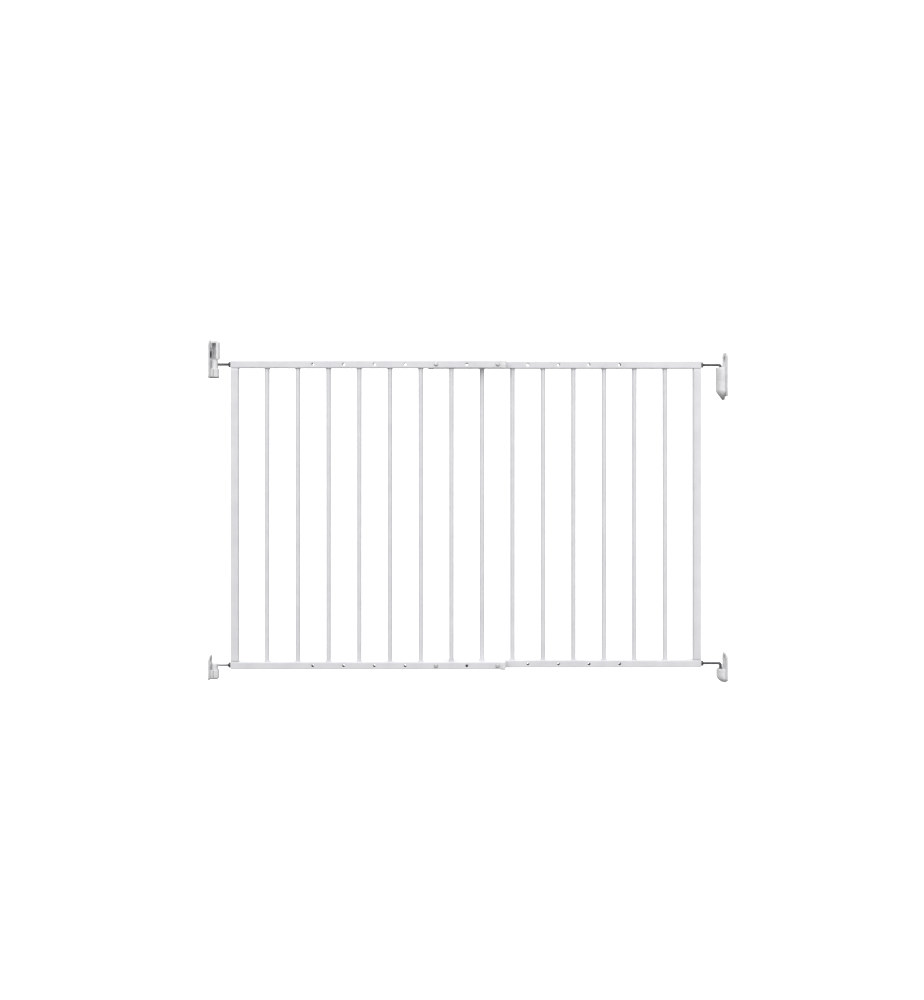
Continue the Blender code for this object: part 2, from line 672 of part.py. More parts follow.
def make_latch_slider(plastic, bracket):
    """The sliding socket that closes round the upper latch leg when it is pushed up."""
    name = "latch_slider"
    start = SLIDING_FACE
    reach = SLIDER_REACH
    tip = SLIDER_TIP_FROM_WALL
    side = [(start, -LATCH_TOP_RIM), (start, -SLIDER_TIP + 2 * (tip - start))]
    side.append((tip - SLIDER_TIP_FLAT / 2, -SLIDER_TIP))
    side.append((tip + SLIDER_TIP_FLAT / 2, -SLIDER_TIP))
    for outwards, upwards in SLIDER_FOOT_CURVE:
        x = tip + outwards * (reach - tip)
        side.append((x, -SLIDER_TIP + upwards * (SLIDER_TIP - SLIDER_SHOULDER)))
    side.append((reach, -SLIDER_SHOULDER))
    side.append((reach, -LATCH_TOP_RIM))
    mesh = extruded(name, [side], CUTTER_LENGTH)
    slider = add_object(name, mesh, plastic, bracket, (0, 0, 0), ALONG_Y)
    plan_outline = half_ellipse_plan(0, reach + GAP, SLIDER_WIDTH)
    plan = extruded(name + "_plan", [plan_outline], CUTTER_LENGTH)
    boolean(slider, add_object(name + "_plan", plan, None, bracket), "INTERSECT")
    floor = LATCH_TOP_LEG + GATE_DROP + LATCH_TRAVEL + SWING_CLEARANCE
    socket = socket_cutter(name + "_socket", bracket, LATCH_SOCKET_RADIUS, -floor, 0.0)
    boolean(slider, socket, "DIFFERENCE")
    notch_half = ROD_RADIUS + NOTCH_CLEARANCE
    notch_floor = ROD_RADIUS + GATE_DROP + LATCH_TRAVEL + SWING_CLEARANCE
    low = (LEG_FROM_WALL, -notch_half, -notch_floor)
    high = (2 * reach, notch_half, 0.0)
    notch = add_object(name + "_notch", box_mesh(name + "_notch", low, high), None, bracket)
    boolean(slider, notch, "DIFFERENCE")
    low = (0.0, -KEY_WIDTH / 2 - GAP, -2 * SLIDER_TIP)
    high = (PLATE_THICKNESS + KEY_HEIGHT + GAP, KEY_WIDTH / 2 + GAP, -KEY_TOP + GAP)
    groove = add_object(name + "_groove", box_mesh(name + "_groove", low, high), None, bracket)
    boolean(slider, groove, "DIFFERENCE")


def make_hinge_side(materials):
    layout = (
        ("top", RAIL_SPACING, HINGE_TOP_PLATE, HINGE_TOP_POCKET, HINGE_TOP_CAP_HEIGHT, 0),
        ("bottom", 0.0, HINGE_BOTTOM_PLATE, HINGE_BOTTOM_POCKET, HINGE_BOTTOM_CAP_HEIGHT, 1),
    )
    for level, height, heights, pocket, cap_height, bulge in layout:
        bracket = new_anchor(f"hinge_{level}", (0, 0, height))
        plate = make_hinge_bracket(level, bracket, materials, heights, pocket, bulge)
        make_hinge_bush(level, materials["plastic"], bracket)
        make_elbow_cap(level, materials["plastic"], bracket, cap_height, HINGE_WALL_GAP)
        make_spindle(
            f"hinge_{level}_spindle", materials["steel"], bracket, HINGE_LEG, HINGE_WALL_GAP
        )
        if level == "top":
            make_lift_stop(materials["plastic"], bracket, plate)


def make_latch_side(materials):
    bracket = new_anchor("latch_top", (OPENING_WIDTH, REAR_OFFSET, RAIL_SPACING), math.pi)
    make_latch_top_bracket(bracket, materials)
    make_latch_slider(materials["plastic"], bracket)
    make_spindle(
        "latch_top_spindle", materials["steel"], bracket, LATCH_TOP_LEG, LATCH_WALL_GAP
    )
    bracket = new_anchor("latch_bottom", (OPENING_WIDTH, REAR_OFFSET, 0), math.pi)
    make_latch_bottom_bracket(bracket, materials)
    make_spindle(
        "latch_bottom_spindle", materials["steel"], bracket, LATCH_BOTTOM_LEG, LATCH_WALL_GAP
    )


def main():
    global parts, cutters
    clear_scene()
    parts = new_collection("extending_safety_gate")
    cutters = new_collection("cutters")
    materials = {
        "paint": white_paint(),
        "plastic": white_plastic(),
        "steel": dark_steel(),
    }
    make_panel("front", "hinge", (HINGE_WALL_GAP, 0, 0), 0.0, materials)
    rear_corner = (HINGE_WALL_GAP + FRAME_WIDTH, REAR_OFFSET, 0)
    make_panel("rear", "latch", rear_corner, math.pi, materials)
    make_clamp_bolts(materials["steel"])
    make_hinge_side(materials)
    make_latch_side(materials)


main()
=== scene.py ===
# Extending safety gate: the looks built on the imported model
import json
import math
import bmesh
import bpy
import numpy as np
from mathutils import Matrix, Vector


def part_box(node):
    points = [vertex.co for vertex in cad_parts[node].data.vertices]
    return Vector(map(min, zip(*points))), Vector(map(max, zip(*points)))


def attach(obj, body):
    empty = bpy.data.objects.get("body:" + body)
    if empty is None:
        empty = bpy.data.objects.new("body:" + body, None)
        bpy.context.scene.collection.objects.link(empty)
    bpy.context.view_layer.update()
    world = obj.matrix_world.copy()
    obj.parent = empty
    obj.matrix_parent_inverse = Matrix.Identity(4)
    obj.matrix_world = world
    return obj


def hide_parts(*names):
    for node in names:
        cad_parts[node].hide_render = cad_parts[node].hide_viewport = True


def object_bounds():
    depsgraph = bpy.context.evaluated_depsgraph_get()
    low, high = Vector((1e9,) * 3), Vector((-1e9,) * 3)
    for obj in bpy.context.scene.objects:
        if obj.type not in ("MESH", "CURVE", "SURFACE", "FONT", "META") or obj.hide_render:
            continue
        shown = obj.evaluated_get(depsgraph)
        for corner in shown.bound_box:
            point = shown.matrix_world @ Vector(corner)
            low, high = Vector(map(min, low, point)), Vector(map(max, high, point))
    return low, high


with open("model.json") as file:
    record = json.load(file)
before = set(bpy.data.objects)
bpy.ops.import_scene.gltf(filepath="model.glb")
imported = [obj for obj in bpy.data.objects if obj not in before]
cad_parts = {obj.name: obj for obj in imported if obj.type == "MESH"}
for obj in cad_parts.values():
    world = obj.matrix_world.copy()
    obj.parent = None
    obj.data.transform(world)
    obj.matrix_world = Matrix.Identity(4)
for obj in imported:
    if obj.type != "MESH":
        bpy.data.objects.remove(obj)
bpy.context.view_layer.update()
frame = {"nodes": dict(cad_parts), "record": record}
mm = 0.001
tau = 2 * math.pi


class Val:
    # one output socket; arithmetic on it adds Math nodes to its tree
    def __init__(self, tree, socket):
        self.tree = tree
        self.socket = socket

    @staticmethod
    def node(tree, kind, settings, inputs, output=0):
        made = tree.nodes.new(kind)
        for key, value in settings.items():
            setattr(made, key, value)
        for key, value in inputs.items():
            if isinstance(value, Val):
                tree.links.new(value.socket, made.inputs[key])
            else:
                made.inputs[key].default_value = value
        return Val(tree, made.outputs[output])

    def calc(self, operation, first, second=0.0, clamp=False):
        settings = {"operation": operation, "use_clamp": clamp}
        return Val.node(self.tree, "ShaderNodeMath", settings, {0: first, 1: second})

    def __add__(self, other):
        return self.calc("ADD", self, other)

    def __radd__(self, other):
        return self.calc("ADD", other, self)

    def __sub__(self, other):
        return self.calc("SUBTRACT", self, other)

    def __rsub__(self, other):
        return self.calc("SUBTRACT", other, self)

    def __mul__(self, other):
        return self.calc("MULTIPLY", self, other)

    def __rmul__(self, other):
        return self.calc("MULTIPLY", other, self)

    def clamped(self):
        return self.calc("ADD", self, 0.0, True)


def newMaterial(name):
    # an empty node material with a shader joined to its output
    material = bpy.data.materials.new(name)
    material.use_nodes = True
    tree = material.node_tree
    tree.nodes.clear()
    shader = tree.nodes.new("ShaderNodeBsdfPrincipled")
    out = tree.nodes.new("ShaderNodeOutputMaterial")
    tree.links.new(shader.outputs[0], out.inputs[0])
    return material, tree, shader


def noiseAt(tree, place, cellSize, detail=3.0, stretch=(1, 1, 1)):
    # noise whose features are cellSize metres across, longer where stretch is above 1
    scale = tuple(1 / (cellSize * s) for s in stretch)
    spread = Val.node(tree, "ShaderNodeVectorMath", {"operation": "MULTIPLY"},
                      {0: place, 1: scale})
    return Val.node(tree, "ShaderNodeTexNoise", {}, {"Vector": spread, "Scale": 1.0,
                    "Detail": detail, "Roughness": 0.55})


def mixColour(tree, share, first, second):
    # colour = first + (second - first) x share
    settings = {"data_type": "RGBA"}
    inputs = {0: share, 6: first, 7: second}
    return Val.node(tree, "ShaderNodeMix", settings, inputs, 2)


def setUp(tree, shader, inputs):
    # links what varies and writes what doesn't on the shader's own sockets
    for key, value in inputs.items():
        if isinstance(value, Val):
            tree.links.new(value.socket, shader.inputs[key])
        else:
            shader.inputs[key].default_value = value


def bumpOf(tree, height, distance):
    # the surface tilts as if height x distance metres had been added to it
    return Val.node(tree, "ShaderNodeBump", {}, {"Height": height, "Distance": distance,
                    "Strength": 1.0})


# the near-black colour is painted shade for the rails' bare steel insides
paintLook = {
    "colour": (0.71, 0.71, 0.73, 1), "shade": (0.62, 0.62, 0.645, 1),
    "bareInsideShade": (0.015, 0.015, 0.016, 1),
    "peelSize": 1.3 * mm, "peelDepth": 0.035 * mm, "fineSize": 0.25 * mm,
    "roughness": 0.30, "roughnessSpread": 0.16, "coat": 0.35,
}


def powderCoat():
    # roughness = base + spread x blotch; height = peel + 0.25 x fine grain;
    # colour goes from shade to colour with a broad cloud, less in scuffs and less in crevices,
    # where the drop is painted shade, and to a near-black painted shade on the rails' bare steel
    # insides where the attribute dark is 1
    look = paintLook
    material, tree, shader = newMaterial("whitePowderCoat")
    place = Val.node(tree, "ShaderNodeTexCoord", {}, {}, "Object")
    peel = noiseAt(tree, place, look["peelSize"], 2.0)
    fine = noiseAt(tree, place, look["fineSize"], 2.0)
    cloud = noiseAt(tree, place, 35 * mm, 4.0)
    scuff = noiseAt(tree, place, 6 * mm, 6.0, (1, 1, 4))
    crevice = Val.node(tree, "ShaderNodeAttribute", {"attribute_name": "crevice"}, {}, "Fac")
    dark = Val.node(tree, "ShaderNodeAttribute", {"attribute_name": "dark"}, {}, "Fac")
    marks = ((scuff - 0.62) * 6.0).clamped()
    share = ((cloud - 0.35) * 1.6 - 0.25 * marks - 0.8 * crevice).clamped()
    colour = mixColour(tree, share, look["shade"], look["colour"])
    colour = mixColour(tree, dark, colour, look["bareInsideShade"])
    bump = bumpOf(tree, peel + 0.25 * fine, look["peelDepth"])
    blotch = cloud * 0.5 + fine * 0.5
    rough = look["roughness"] + look["roughnessSpread"] * blotch + 0.12 * marks
    setUp(tree, shader, {"Base Color": colour, "Roughness": rough, "Normal": bump,
                         "Coat Weight": look["coat"], "Coat Roughness": 0.12})
    return material


# dark is the near-black colour of painted shade
plasticLook = {
    "colour": (0.77, 0.77, 0.775, 1), "shade": (0.60, 0.60, 0.61, 1),
    "dark": (0.012, 0.012, 0.012, 1), "grainSize": 0.35 * mm, "grainDepth": 0.02 * mm,
    "waveSize": 9 * mm, "waveDepth": 0.05 * mm, "roughness": 0.36,
    "grey": (0.42, 0.42, 0.43, 1), "greyShade": (0.30, 0.30, 0.31, 1),
}


def mouldedPlastic(name, colour, shade):
    # height = moulding waves + spark-eroded grain; the attribute dark turns it near black and
    # crevice darkens it, both painted shade, made patchy by a fine noise that also varies
    # roughness
    look = plasticLook
    material, tree, shader = newMaterial(name)
    place = Val.node(tree, "ShaderNodeTexCoord", {}, {}, "Object")
    grain = noiseAt(tree, place, look["grainSize"], 3.0)
    wave = noiseAt(tree, place, look["waveSize"], 2.0)
    dustAndShade = noiseAt(tree, place, 2.2 * mm, 6.0)
    crevice = Val.node(tree, "ShaderNodeAttribute", {"attribute_name": "crevice"}, {}, "Fac")
    dark = Val.node(tree, "ShaderNodeAttribute", {"attribute_name": "dark"}, {}, "Fac")
    share = ((wave - 0.2) * 1.6 - crevice * (0.5 + dustAndShade)).clamped()
    colour = mixColour(tree, share, shade, colour)
    colour = mixColour(tree, (dark * (0.75 + 0.5 * dustAndShade)).clamped(), colour, look["dark"])
    height = wave * (look["waveDepth"] / look["grainDepth"]) + grain
    rough = look["roughness"] + 0.14 * grain + 0.10 * (dustAndShade - 0.5) + 0.2 * crevice
    setUp(tree, shader, {"Base Color": colour, "Roughness": rough,
                         "Normal": bumpOf(tree, height, look["grainDepth"])})
    return material


steelLook = {
    "dark": (0.05, 0.05, 0.055, 1), "worn": (0.44, 0.44, 0.45, 1),
    "bright": (0.82, 0.82, 0.83, 1),
    "scratchSize": 0.25 * mm, "scratchDepth": 0.012 * mm, "roughness": 0.30,
    "platedMetallic": 0.75, "bareMetallic": 0.85,
}


def platedSteel(name, dark, bright, metallic):
    # colour goes from the plating to bare steel with the wear attribute and fine blotches
    look = steelLook
    material, tree, shader = newMaterial(name)
    place = Val.node(tree, "ShaderNodeTexCoord", {}, {}, "Object")
    scratch = noiseAt(tree, place, look["scratchSize"], 3.0, (12, 1, 1))
    blotch = noiseAt(tree, place, 1.6 * mm, 5.0)
    wear = Val.node(tree, "ShaderNodeAttribute", {"attribute_name": "wear"}, {}, "Fac")
    share = (wear * (0.55 + 0.9 * (blotch - 0.35)) + 0.25 * (blotch - 0.55)).clamped()
    colour = mixColour(tree, share, dark, bright)
    rough = look["roughness"] + 0.25 * (blotch - 0.5) + 0.10 * scratch
    bump = bumpOf(tree, scratch + 0.6 * blotch, look["scratchDepth"])
    setUp(tree, shader, {"Base Color": colour, "Roughness": rough.clamped(),
                         "Metallic": metallic, "Normal": bump})
    return material


def gridFaces(rows, columns, closeRows=False):
    # quads of a grid whose columns go all the way round
    r = np.arange(rows if closeRows else rows - 1)[:, None]
    c = np.arange(columns)[None, :]
    r2, c2 = (r + 1) % rows, (c + 1) % columns
    corners = (r * columns + c, r * columns + c2, r2 * columns + c2, r2 * columns + c)
    return np.stack(np.broadcast_arrays(*corners), -1).reshape(-1, 4)


def outwards(points, faces):
    # volume = sum of p0 . (p1 x p2) / 6; a negative one means the faces look inwards
    total = 0.0
    for face in faces:
        a, b = points[face[:, 0]], points[face[:, 1]]
        for k in range(2, face.shape[1]):
            c = points[face[:, k]]
            total += np.einsum("ij,ij->", a, np.cross(b, c))
            b = c
    return faces if total > 0 else [face[:, ::-1] for face in faces]


def loft(rings, closed=False, fan=True, **marks):
    # a closed skin through rings of equal length, with both ends closed by a fan or one face
    rings = np.asarray(rings, float)
    rows, columns = rings.shape[:2]
    points = rings.reshape(-1, 3)
    faces = [gridFaces(rows, columns, closed)]
    extra = {}
    for key, values in marks.items():
        extra[key] = np.broadcast_to(np.asarray(values, float).reshape(rows, -1),
                                     (rows, columns)).ravel()
    if not closed:
        first = np.arange(columns)
        last = first + (rows - 1) * columns
        if fan:
            middles = np.stack([rings[0].mean(0), rings[-1].mean(0)])
            start = len(points)
            points = np.concatenate([points, middles])
            turned = np.roll(first, -1)
            faces.append(np.stack([turned, first, np.full(columns, start)], -1))
            turned = np.roll(last, -1)
            faces.append(np.stack([last, turned, np.full(columns, start + 1)], -1))
            for key in extra:
                ends = [extra[key][first].mean(), extra[key][last].mean()]
                extra[key] = np.concatenate([extra[key], ends])
        else:
            faces.append(first[::-1][None, :])
            faces.append(last[None, :])
    return {"points": points, "faces": outwards(points, faces), "marks": extra}


def addPiece(name, skins, material, nodes, creaseAngle=38):
    # joins skins into one mesh object that rides on its nodes' body and stands for them
    points, faces, marks, start = [], [], {}, 0
    keys = sorted({k for s in skins for k in s["marks"]})
    for skin in skins:
        points.append(skin["points"])
        for face in skin["faces"]:
            faces.extend((face + start).tolist())
        for key in keys:
            found = skin["marks"].get(key, np.zeros(len(skin["points"])))
            marks.setdefault(key, []).append(found)
        start += len(skin["points"])
    mesh = bpy.data.meshes.new(name)
    mesh.from_pydata(np.concatenate(points), [], faces)
    for key in keys:
        layer = mesh.attributes.new(key, "FLOAT", "POINT")
        layer.data.foreach_set("value", np.concatenate(marks[key]).astype(np.float32))
    if any(s.get("recalc") for s in skins):
        whole = bmesh.new()
        whole.from_mesh(mesh)
        bmesh.ops.recalc_face_normals(whole, faces=whole.faces)
        whole.to_mesh(mesh)
        whole.free()
    mesh.shade_smooth()
    mesh.set_sharp_from_angle(angle=math.radians(creaseAngle))
    mesh.materials.append(material)
    piece = bpy.data.objects.new(name, mesh)
    bpy.context.scene.collection.objects.link(piece)
    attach(piece, bodyOf[nodes[0]])
    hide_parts(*nodes)
    return piece


bodyOf = {n: b for b, ns in frame["record"]["behaviour"]["bodies"].items() for n in ns}


def boxOf(node):
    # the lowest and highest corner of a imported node
    low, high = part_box(node)
    return np.array(low), np.array(high)


def roundSquare(half, corner, arcSteps, flatSteps):
    # corners of radius corner with straight flats between, anticlockwise from the lower left
    points = []
    for k in range(4):
        turn = k * math.pi / 2
        straight = np.linspace(-(half - corner), half - corner, flatSteps + 1)
        side = np.stack([straight, np.full(flatSteps + 1, -half)], -1)
        angle = np.linspace(-math.pi / 2, 0, arcSteps + 1)[1:-1]
        arc = np.stack([half - corner + corner * np.cos(angle),
                        -(half - corner) + corner * np.sin(angle)], -1)
        both = np.concatenate([side, arc])
        c, s = math.cos(turn), math.sin(turn)
        points.append(both @ np.array([[c, s], [-s, c]]))
    return np.concatenate(points)


def placed(flat, along, axis):
    # puts a flat outline (n x 2) at the distance along on X, Y or Z
    filled = np.full(len(flat), along)
    order = {"x": (filled, flat[:, 0], flat[:, 1]), "y": (flat[:, 0], filled, flat[:, 1]),
             "z": (flat[:, 0], flat[:, 1], filled)}
    return np.stack(order[axis], -1)


# the per-level entry at the end is painted shade inside the rails and their holes, near black in
# the bottom rails
railLook = {"wall": 1.2 * mm, "corner": 2.0 * mm, "endEdge": 0.35 * mm, "holeRadius": 2.7 * mm,
            "holeEdge": 0.35 * mm, "tileSteps": 8, "holePitch": 63.6 * mm, "holes": 7,
            "endMargin": 15.5 * mm, "insidePaintedShade": {"top": 0.25, "bottom": 1.0}}


def railSkin(low, high, inwards, insidePaintedShade):
    # outer and inner skins share one grid; square tiles of it give way to the round holes.
    # dark, set per rail level, covers the bare steel inside and partway down each hole's edge;
    # this near-black tone, deeper in the bottom rails, is painted shade, as is the crevice
    # darkening down each hole
    look = railLook
    half = (high[2] - low[2]) / 2
    middle = (low + high) / 2
    steps, flat = look["tileSteps"], half - look["corner"]
    tip = high[0] - look["endMargin"] if inwards > 0 else low[0] + look["endMargin"]
    holes = np.sort(tip - inwards * look["holePitch"] * np.arange(look["holes"]))
    edge = look["endEdge"]
    stations = [np.array([low[0], low[0] + 0.3 * edge, low[0] + edge])]
    stations += [x + np.linspace(-flat, flat, steps + 1) for x in holes]
    stations.append(np.array([high[0] - edge, high[0] - 0.3 * edge, high[0]]))
    stations = np.concatenate(stations)
    shrink = np.zeros(len(stations))
    shrink[[0, -1]], shrink[[1, -2]] = edge, 0.3 * edge
    grids = []
    for wall in (0.0, look["wall"]):
        rings = []
        for x, less in zip(stations, shrink):
            size = half - wall - (less if wall == 0 else 0)
            outline = roundSquare(size, size - flat, 4, steps)
            rings.append(placed(outline, x, "x") + [0, middle[1], middle[2]])
        grids.append(np.array(rings))
    rows, columns = grids[0].shape[:2]
    points = [grids[0].reshape(-1, 3), grids[1].reshape(-1, 3)]
    size = rows * columns
    quads = gridFaces(rows, columns)
    cell = np.arange(rows - 1)[:, None] * columns + np.arange(columns)[None, :]
    # columns run from the lower side: its flat, a corner, then the +Y side and so on
    perSide = steps + 4
    keep = np.ones((rows - 1, columns), bool)
    tiles = []
    for h in range(len(holes)):
        r0 = 3 + h * (steps + 1)
        for side in (1, 3):
            c0 = side * perSide
            keep[r0:r0 + steps, c0:c0 + steps] = False
            tiles.append((r0, c0, holes[h], 1 if side == 1 else -1))
    quads = quads[keep.ravel()]
    faces = [quads, quads[:, ::-1] + size]
    around = np.arange(columns)
    for row, flip in ((0, 1), (rows - 1, -1)):
        a, b = row * columns + around, row * columns + np.roll(around, -1)
        faces.append(np.stack([a, b, b + size, a + size], -1)[:, ::flip])
    count = 2 * size
    crevice = [np.zeros(2 * size)]
    dark = [np.repeat([0.0, insidePaintedShade], size)]
    n = 4 * steps
    for r0, c0, x, sign in tiles:
        k = np.arange(steps)
        edgeRows = np.concatenate([np.full(steps, r0), r0 + k, np.full(steps, r0 + steps),
                                   r0 + steps - k])
        edgeColumns = np.concatenate([c0 + steps - k, np.full(steps, c0), c0 + k,
                                      np.full(steps, c0 + steps)])
        border = edgeRows * columns + edgeColumns
        place = grids[0].reshape(-1, 3)[border]
        angle = np.arctan2(place[:, 2] - middle[2], place[:, 0] - x)
        start = angle[0]
        turning = math.copysign(1, math.sin(angle[1] - angle[0]))
        angle = start + turning * tau * np.arange(n) / n
        circle = np.stack([x + 0 * angle, 0 * angle, middle[2] + 0 * angle], -1)
        ray = np.stack([np.cos(angle), 0 * angle, np.sin(angle)], -1)
        loops = []
        r, e = look["holeRadius"], look["holeEdge"]
        for radius, depth in ((r + e, 0), (r + 0.3 * e, 0.3 * e), (r, e), (r, look["wall"])):
            loop = circle + radius * ray
            loop[:, 1] = middle[1] + sign * (half - depth)
            loops.append(loop)
        points.append(np.concatenate(loops))
        crevice.append(np.repeat([0.0, 0.2, 0.6, 1.0], n))
        dark.append(np.repeat([0.0, 0.0, 0.5 * insidePaintedShade, insidePaintedShade], n))
        ids = [border] + [count + n * k + np.arange(n) for k in range(4)] + [border + size]
        for a, b in zip(ids[:-1], ids[1:]):
            faces.append(np.stack([a, np.roll(a, -1), np.roll(b, -1), b], -1))
        count += 4 * n
    return {"points": np.concatenate(points), "faces": faces, "recalc": True,
            "marks": {"crevice": np.concatenate(crevice), "dark": np.concatenate(dark)}}


def railsAndUprights(paint):
    # an upright's skin is its rounded square at each height, drawn in a little at both ends
    for side, inwards in (("front", 1), ("rear", -1)):
        for level in ("top", "bottom"):
            node = f"{side}_{level}_rail"
            low, high = boxOf(node)
            skin = railSkin(low, high, inwards, railLook["insidePaintedShade"][level])
            addPiece(node + "_tube", [skin], paint, [node],
                     50)
        node = side + "_upright"
        low, high = boxOf(node)
        half, middle = (high[0] - low[0]) / 2, (low + high) / 2
        edge = 0.5 * mm
        ends = [(0.0, edge), (0.25 * edge, 0.3 * edge), (edge, 0.0)]
        levels = [(low[2] + up, less) for up, less in ends]
        levels += [(z, 0.0) for z in np.linspace(low[2] + 5 * mm, high[2] - 5 * mm, 12)]
        levels += [(high[2] - up, less) for up, less in reversed(ends)]
        rings = []
        for z, less in levels:
            outline = roundSquare(half - less, railLook["corner"], 5, 2)
            rings.append(placed(outline + middle[:2], z, "z"))
        # the narrowed ends get crevice 1: painted shade where the upright meets the rails
        jointShade = [1.0 if less > 0 else 0.0 for z, less in levels]
        addPiece(node + "_tube", [loft(rings, crevice=jointShade)], paint, [node],
                 50)
    print("rails and uprights made")


barLook = {"sides": 40, "weldHeight": 1.3 * mm, "weldReach": 1.0 * mm, "weldLumps": 9}


def barSkin(low, high):
    # radius = bar + weld bead that dies out from the rail, a little lumpy round the bar
    look = barLook
    radius, middle = (high[0] - low[0]) / 2, (low + high) / 2
    angle = np.arange(look["sides"]) * tau / look["sides"]
    up = np.array([0, 0.15, 0.35, 0.6, 0.8, 1.0, 1.3]) * look["weldHeight"]
    heights = np.concatenate([low[2] + up, np.linspace(low[2] + 8 * mm, high[2] - 8 * mm, 10),
                              high[2] - up[::-1]])
    fromEnd = np.minimum(heights - low[2], high[2] - heights)
    bead = np.clip(1 - fromEnd / look["weldHeight"], 0, 1) ** 2
    lumps = 1 + 0.22 * np.sin(look["weldLumps"] * angle + middle[0] * 900)
    radii = radius + look["weldReach"] * bead[:, None] * lumps[None, :]
    rings = np.stack([middle[0] + radii * np.cos(angle), middle[1] + radii * np.sin(angle),
                      np.broadcast_to(heights[:, None], radii.shape)], -1)
    # crevice near the ends is painted shade where the bar meets the rails
    return loft(rings, crevice=np.clip(1 - fromEnd / (1.5 * look["weldHeight"]), 0, 1))


def bars(paint):
    # seven bars on each panel
    for side in ("front", "rear"):
        for k in range(1, 8):
            node = f"{side}_bar_{k}"
            addPiece(node + "_tube", [barSkin(*boxOf(node))], paint, [node],
                     50)
    print("bars made")


capLook = {"wall": 0.6 * mm, "end": 1.2 * mm, "edge": 1.4 * mm, "flat": 6.0 * mm,
           "lip": 0.15 * mm, "grooveDepth": 0.18 * mm}


def endCaps(plastic):
    # square rings along the rail: inside wall, lip, outside wall, rounded end
    look = capLook
    for side, inwards in (("front", 1), ("rear", -1)):
        for level in ("top", "bottom"):
            node = f"{side}_{level}_end_cap"
            low, high = boxOf(node)
            half, middle = (high[2] - low[2]) / 2, (low + high) / 2
            length = high[0] - low[0]
            inside, lip = half - look["wall"], look["lip"]
            edge = look["edge"]
            profile = [(length - look["end"], inside), (lip, inside), (0, inside + lip),
                       (0, half - lip), (lip, half)]
            groove = half - look["grooveDepth"]
            profile += [(2.2 * mm, half), (2.4 * mm, groove), (2.9 * mm, groove), (3.1 * mm, half)]
            turn = np.linspace(0, math.pi / 2, 7)
            profile += [(length - edge + edge * math.sin(a), half - edge + edge * math.cos(a))
                        for a in turn]
            rings = []
            for along, size in profile:
                outline = roundSquare(size, size - look["flat"], 5, 2)
                x = low[0] + along if inwards > 0 else high[0] - along
                rings.append(placed(outline + middle[1:], x, "x"))
            # crevice is painted shade on the inside wall, at the lip and in the groove
            crevice = [1, 1, 0.7, 0.3, 0, 0, 0.8, 0.8, 0] + [0] * 7
            addPiece(node + "_sleeve", [loft(rings, crevice=crevice)], plastic, [node])
    print("end caps made")


def spun(profile, angles):
    # profile rows are (along, radius) or (along, radius per angle)
    rings = []
    for along, radius in profile:
        radius = np.broadcast_to(radius, angles.shape)
        rings.append(np.stack([along + 0 * angles, radius * np.cos(angles),
                               radius * np.sin(angles)], -1))
    return np.array(rings)


def hexRadius(angles, acrossFlats):
    # distance to a hexagon's side: half the width over flats / cos(angle from the flat's middle)
    near = (angles + math.pi / 6) % (math.pi / 3) - math.pi / 6
    return acrossFlats / 2 / np.cos(near)


nutLook = {"sides": 72, "coneFlat": 0.97, "slope": 0.55, "acrossFlats": 10 * mm,
           "boltBore": 2.6 * mm, "rodBore": 3.15 * mm}


def nutSkin(length, bore):
    # radius = smaller of the hexagon and a cone at each face, which curves the corners
    look = nutLook
    acrossFlats = look["acrossFlats"]
    angles = np.arange(look["sides"]) * tau / look["sides"]
    hexagon = hexRadius(angles, acrossFlats)
    depth = np.array([0, 0.05, 0.12, 0.2, 0.3, 0.42, 0.55]) * mm
    profile = [(0.35 * mm, bore), (0.0, bore + 0.35 * mm)]
    for d in depth:
        cone = acrossFlats / 2 * look["coneFlat"] + d / look["slope"]
        profile.append((d, np.minimum(hexagon, cone)))
    profile += [(length - a, r) for a, r in reversed(profile)]
    wear = []
    for along, radius in profile:
        reach = np.broadcast_to(radius, angles.shape)
        wear.append(np.clip((reach / (acrossFlats / 2) - 1.06) * 9, 0, 1))
    return loft(spun(profile, angles), closed=True, wear=np.array(wear))


def turned(skin, axis, origin):
    # turns a skin made along X so that it runs along axis, then moves it to origin
    p = skin["points"]
    views = {"x": p, "-x": p * [-1, -1, 1], "y": p[:, [1, 0, 2]] * [-1, 1, 1],
             "-y": p[:, [1, 0, 2]] * [1, -1, 1]}
    return dict(skin, points=views[axis] + np.asarray(origin))


headLook = {"height": 2.6 * mm, "socketWidth": 2.6 * mm, "socketDepth": 0.9 * mm, "sides": 60,
            "domeShare": 0.82, "shank": 2.4 * mm}


def boltSkin(low, high):
    # a button head with a hexagon socket; the shank carries on to a chamfered end
    look = headLook
    angles = np.arange(look["sides"]) * tau / look["sides"]
    head, shank = (high[0] - low[0]) / 2, look["shank"]
    length = high[1] - low[1]
    socket = hexRadius(angles, look["socketWidth"])
    profile = [(look["socketDepth"] + 0.3 * mm, 0.2 * mm), (look["socketDepth"], socket),
               (0.12 * mm, socket), (0.0, socket + 0.25 * mm)]
    for k in range(1, 9):
        a = k / 8 * math.pi / 2
        base = look["socketWidth"] / 2 + 0.4 * mm
        depth = look["height"] * look["domeShare"] * (1 - math.cos(a))
        profile.append((depth, base + (head - base) * math.sin(a)))
    profile += [(look["height"] - 0.1 * mm, head), (look["height"], head - 0.1 * mm),
                (look["height"], shank), (length - 0.6 * mm, shank), (length, shank - 0.6 * mm)]
    wear = [0, 0, 0.6, 1] + [0.75, 0.6, 0.5, 0.4, 0.3, 0.3, 0.5, 0.8] + [0.3, 0, 0, 0, 0.3]
    return loft(spun(profile, angles), wear=wear)


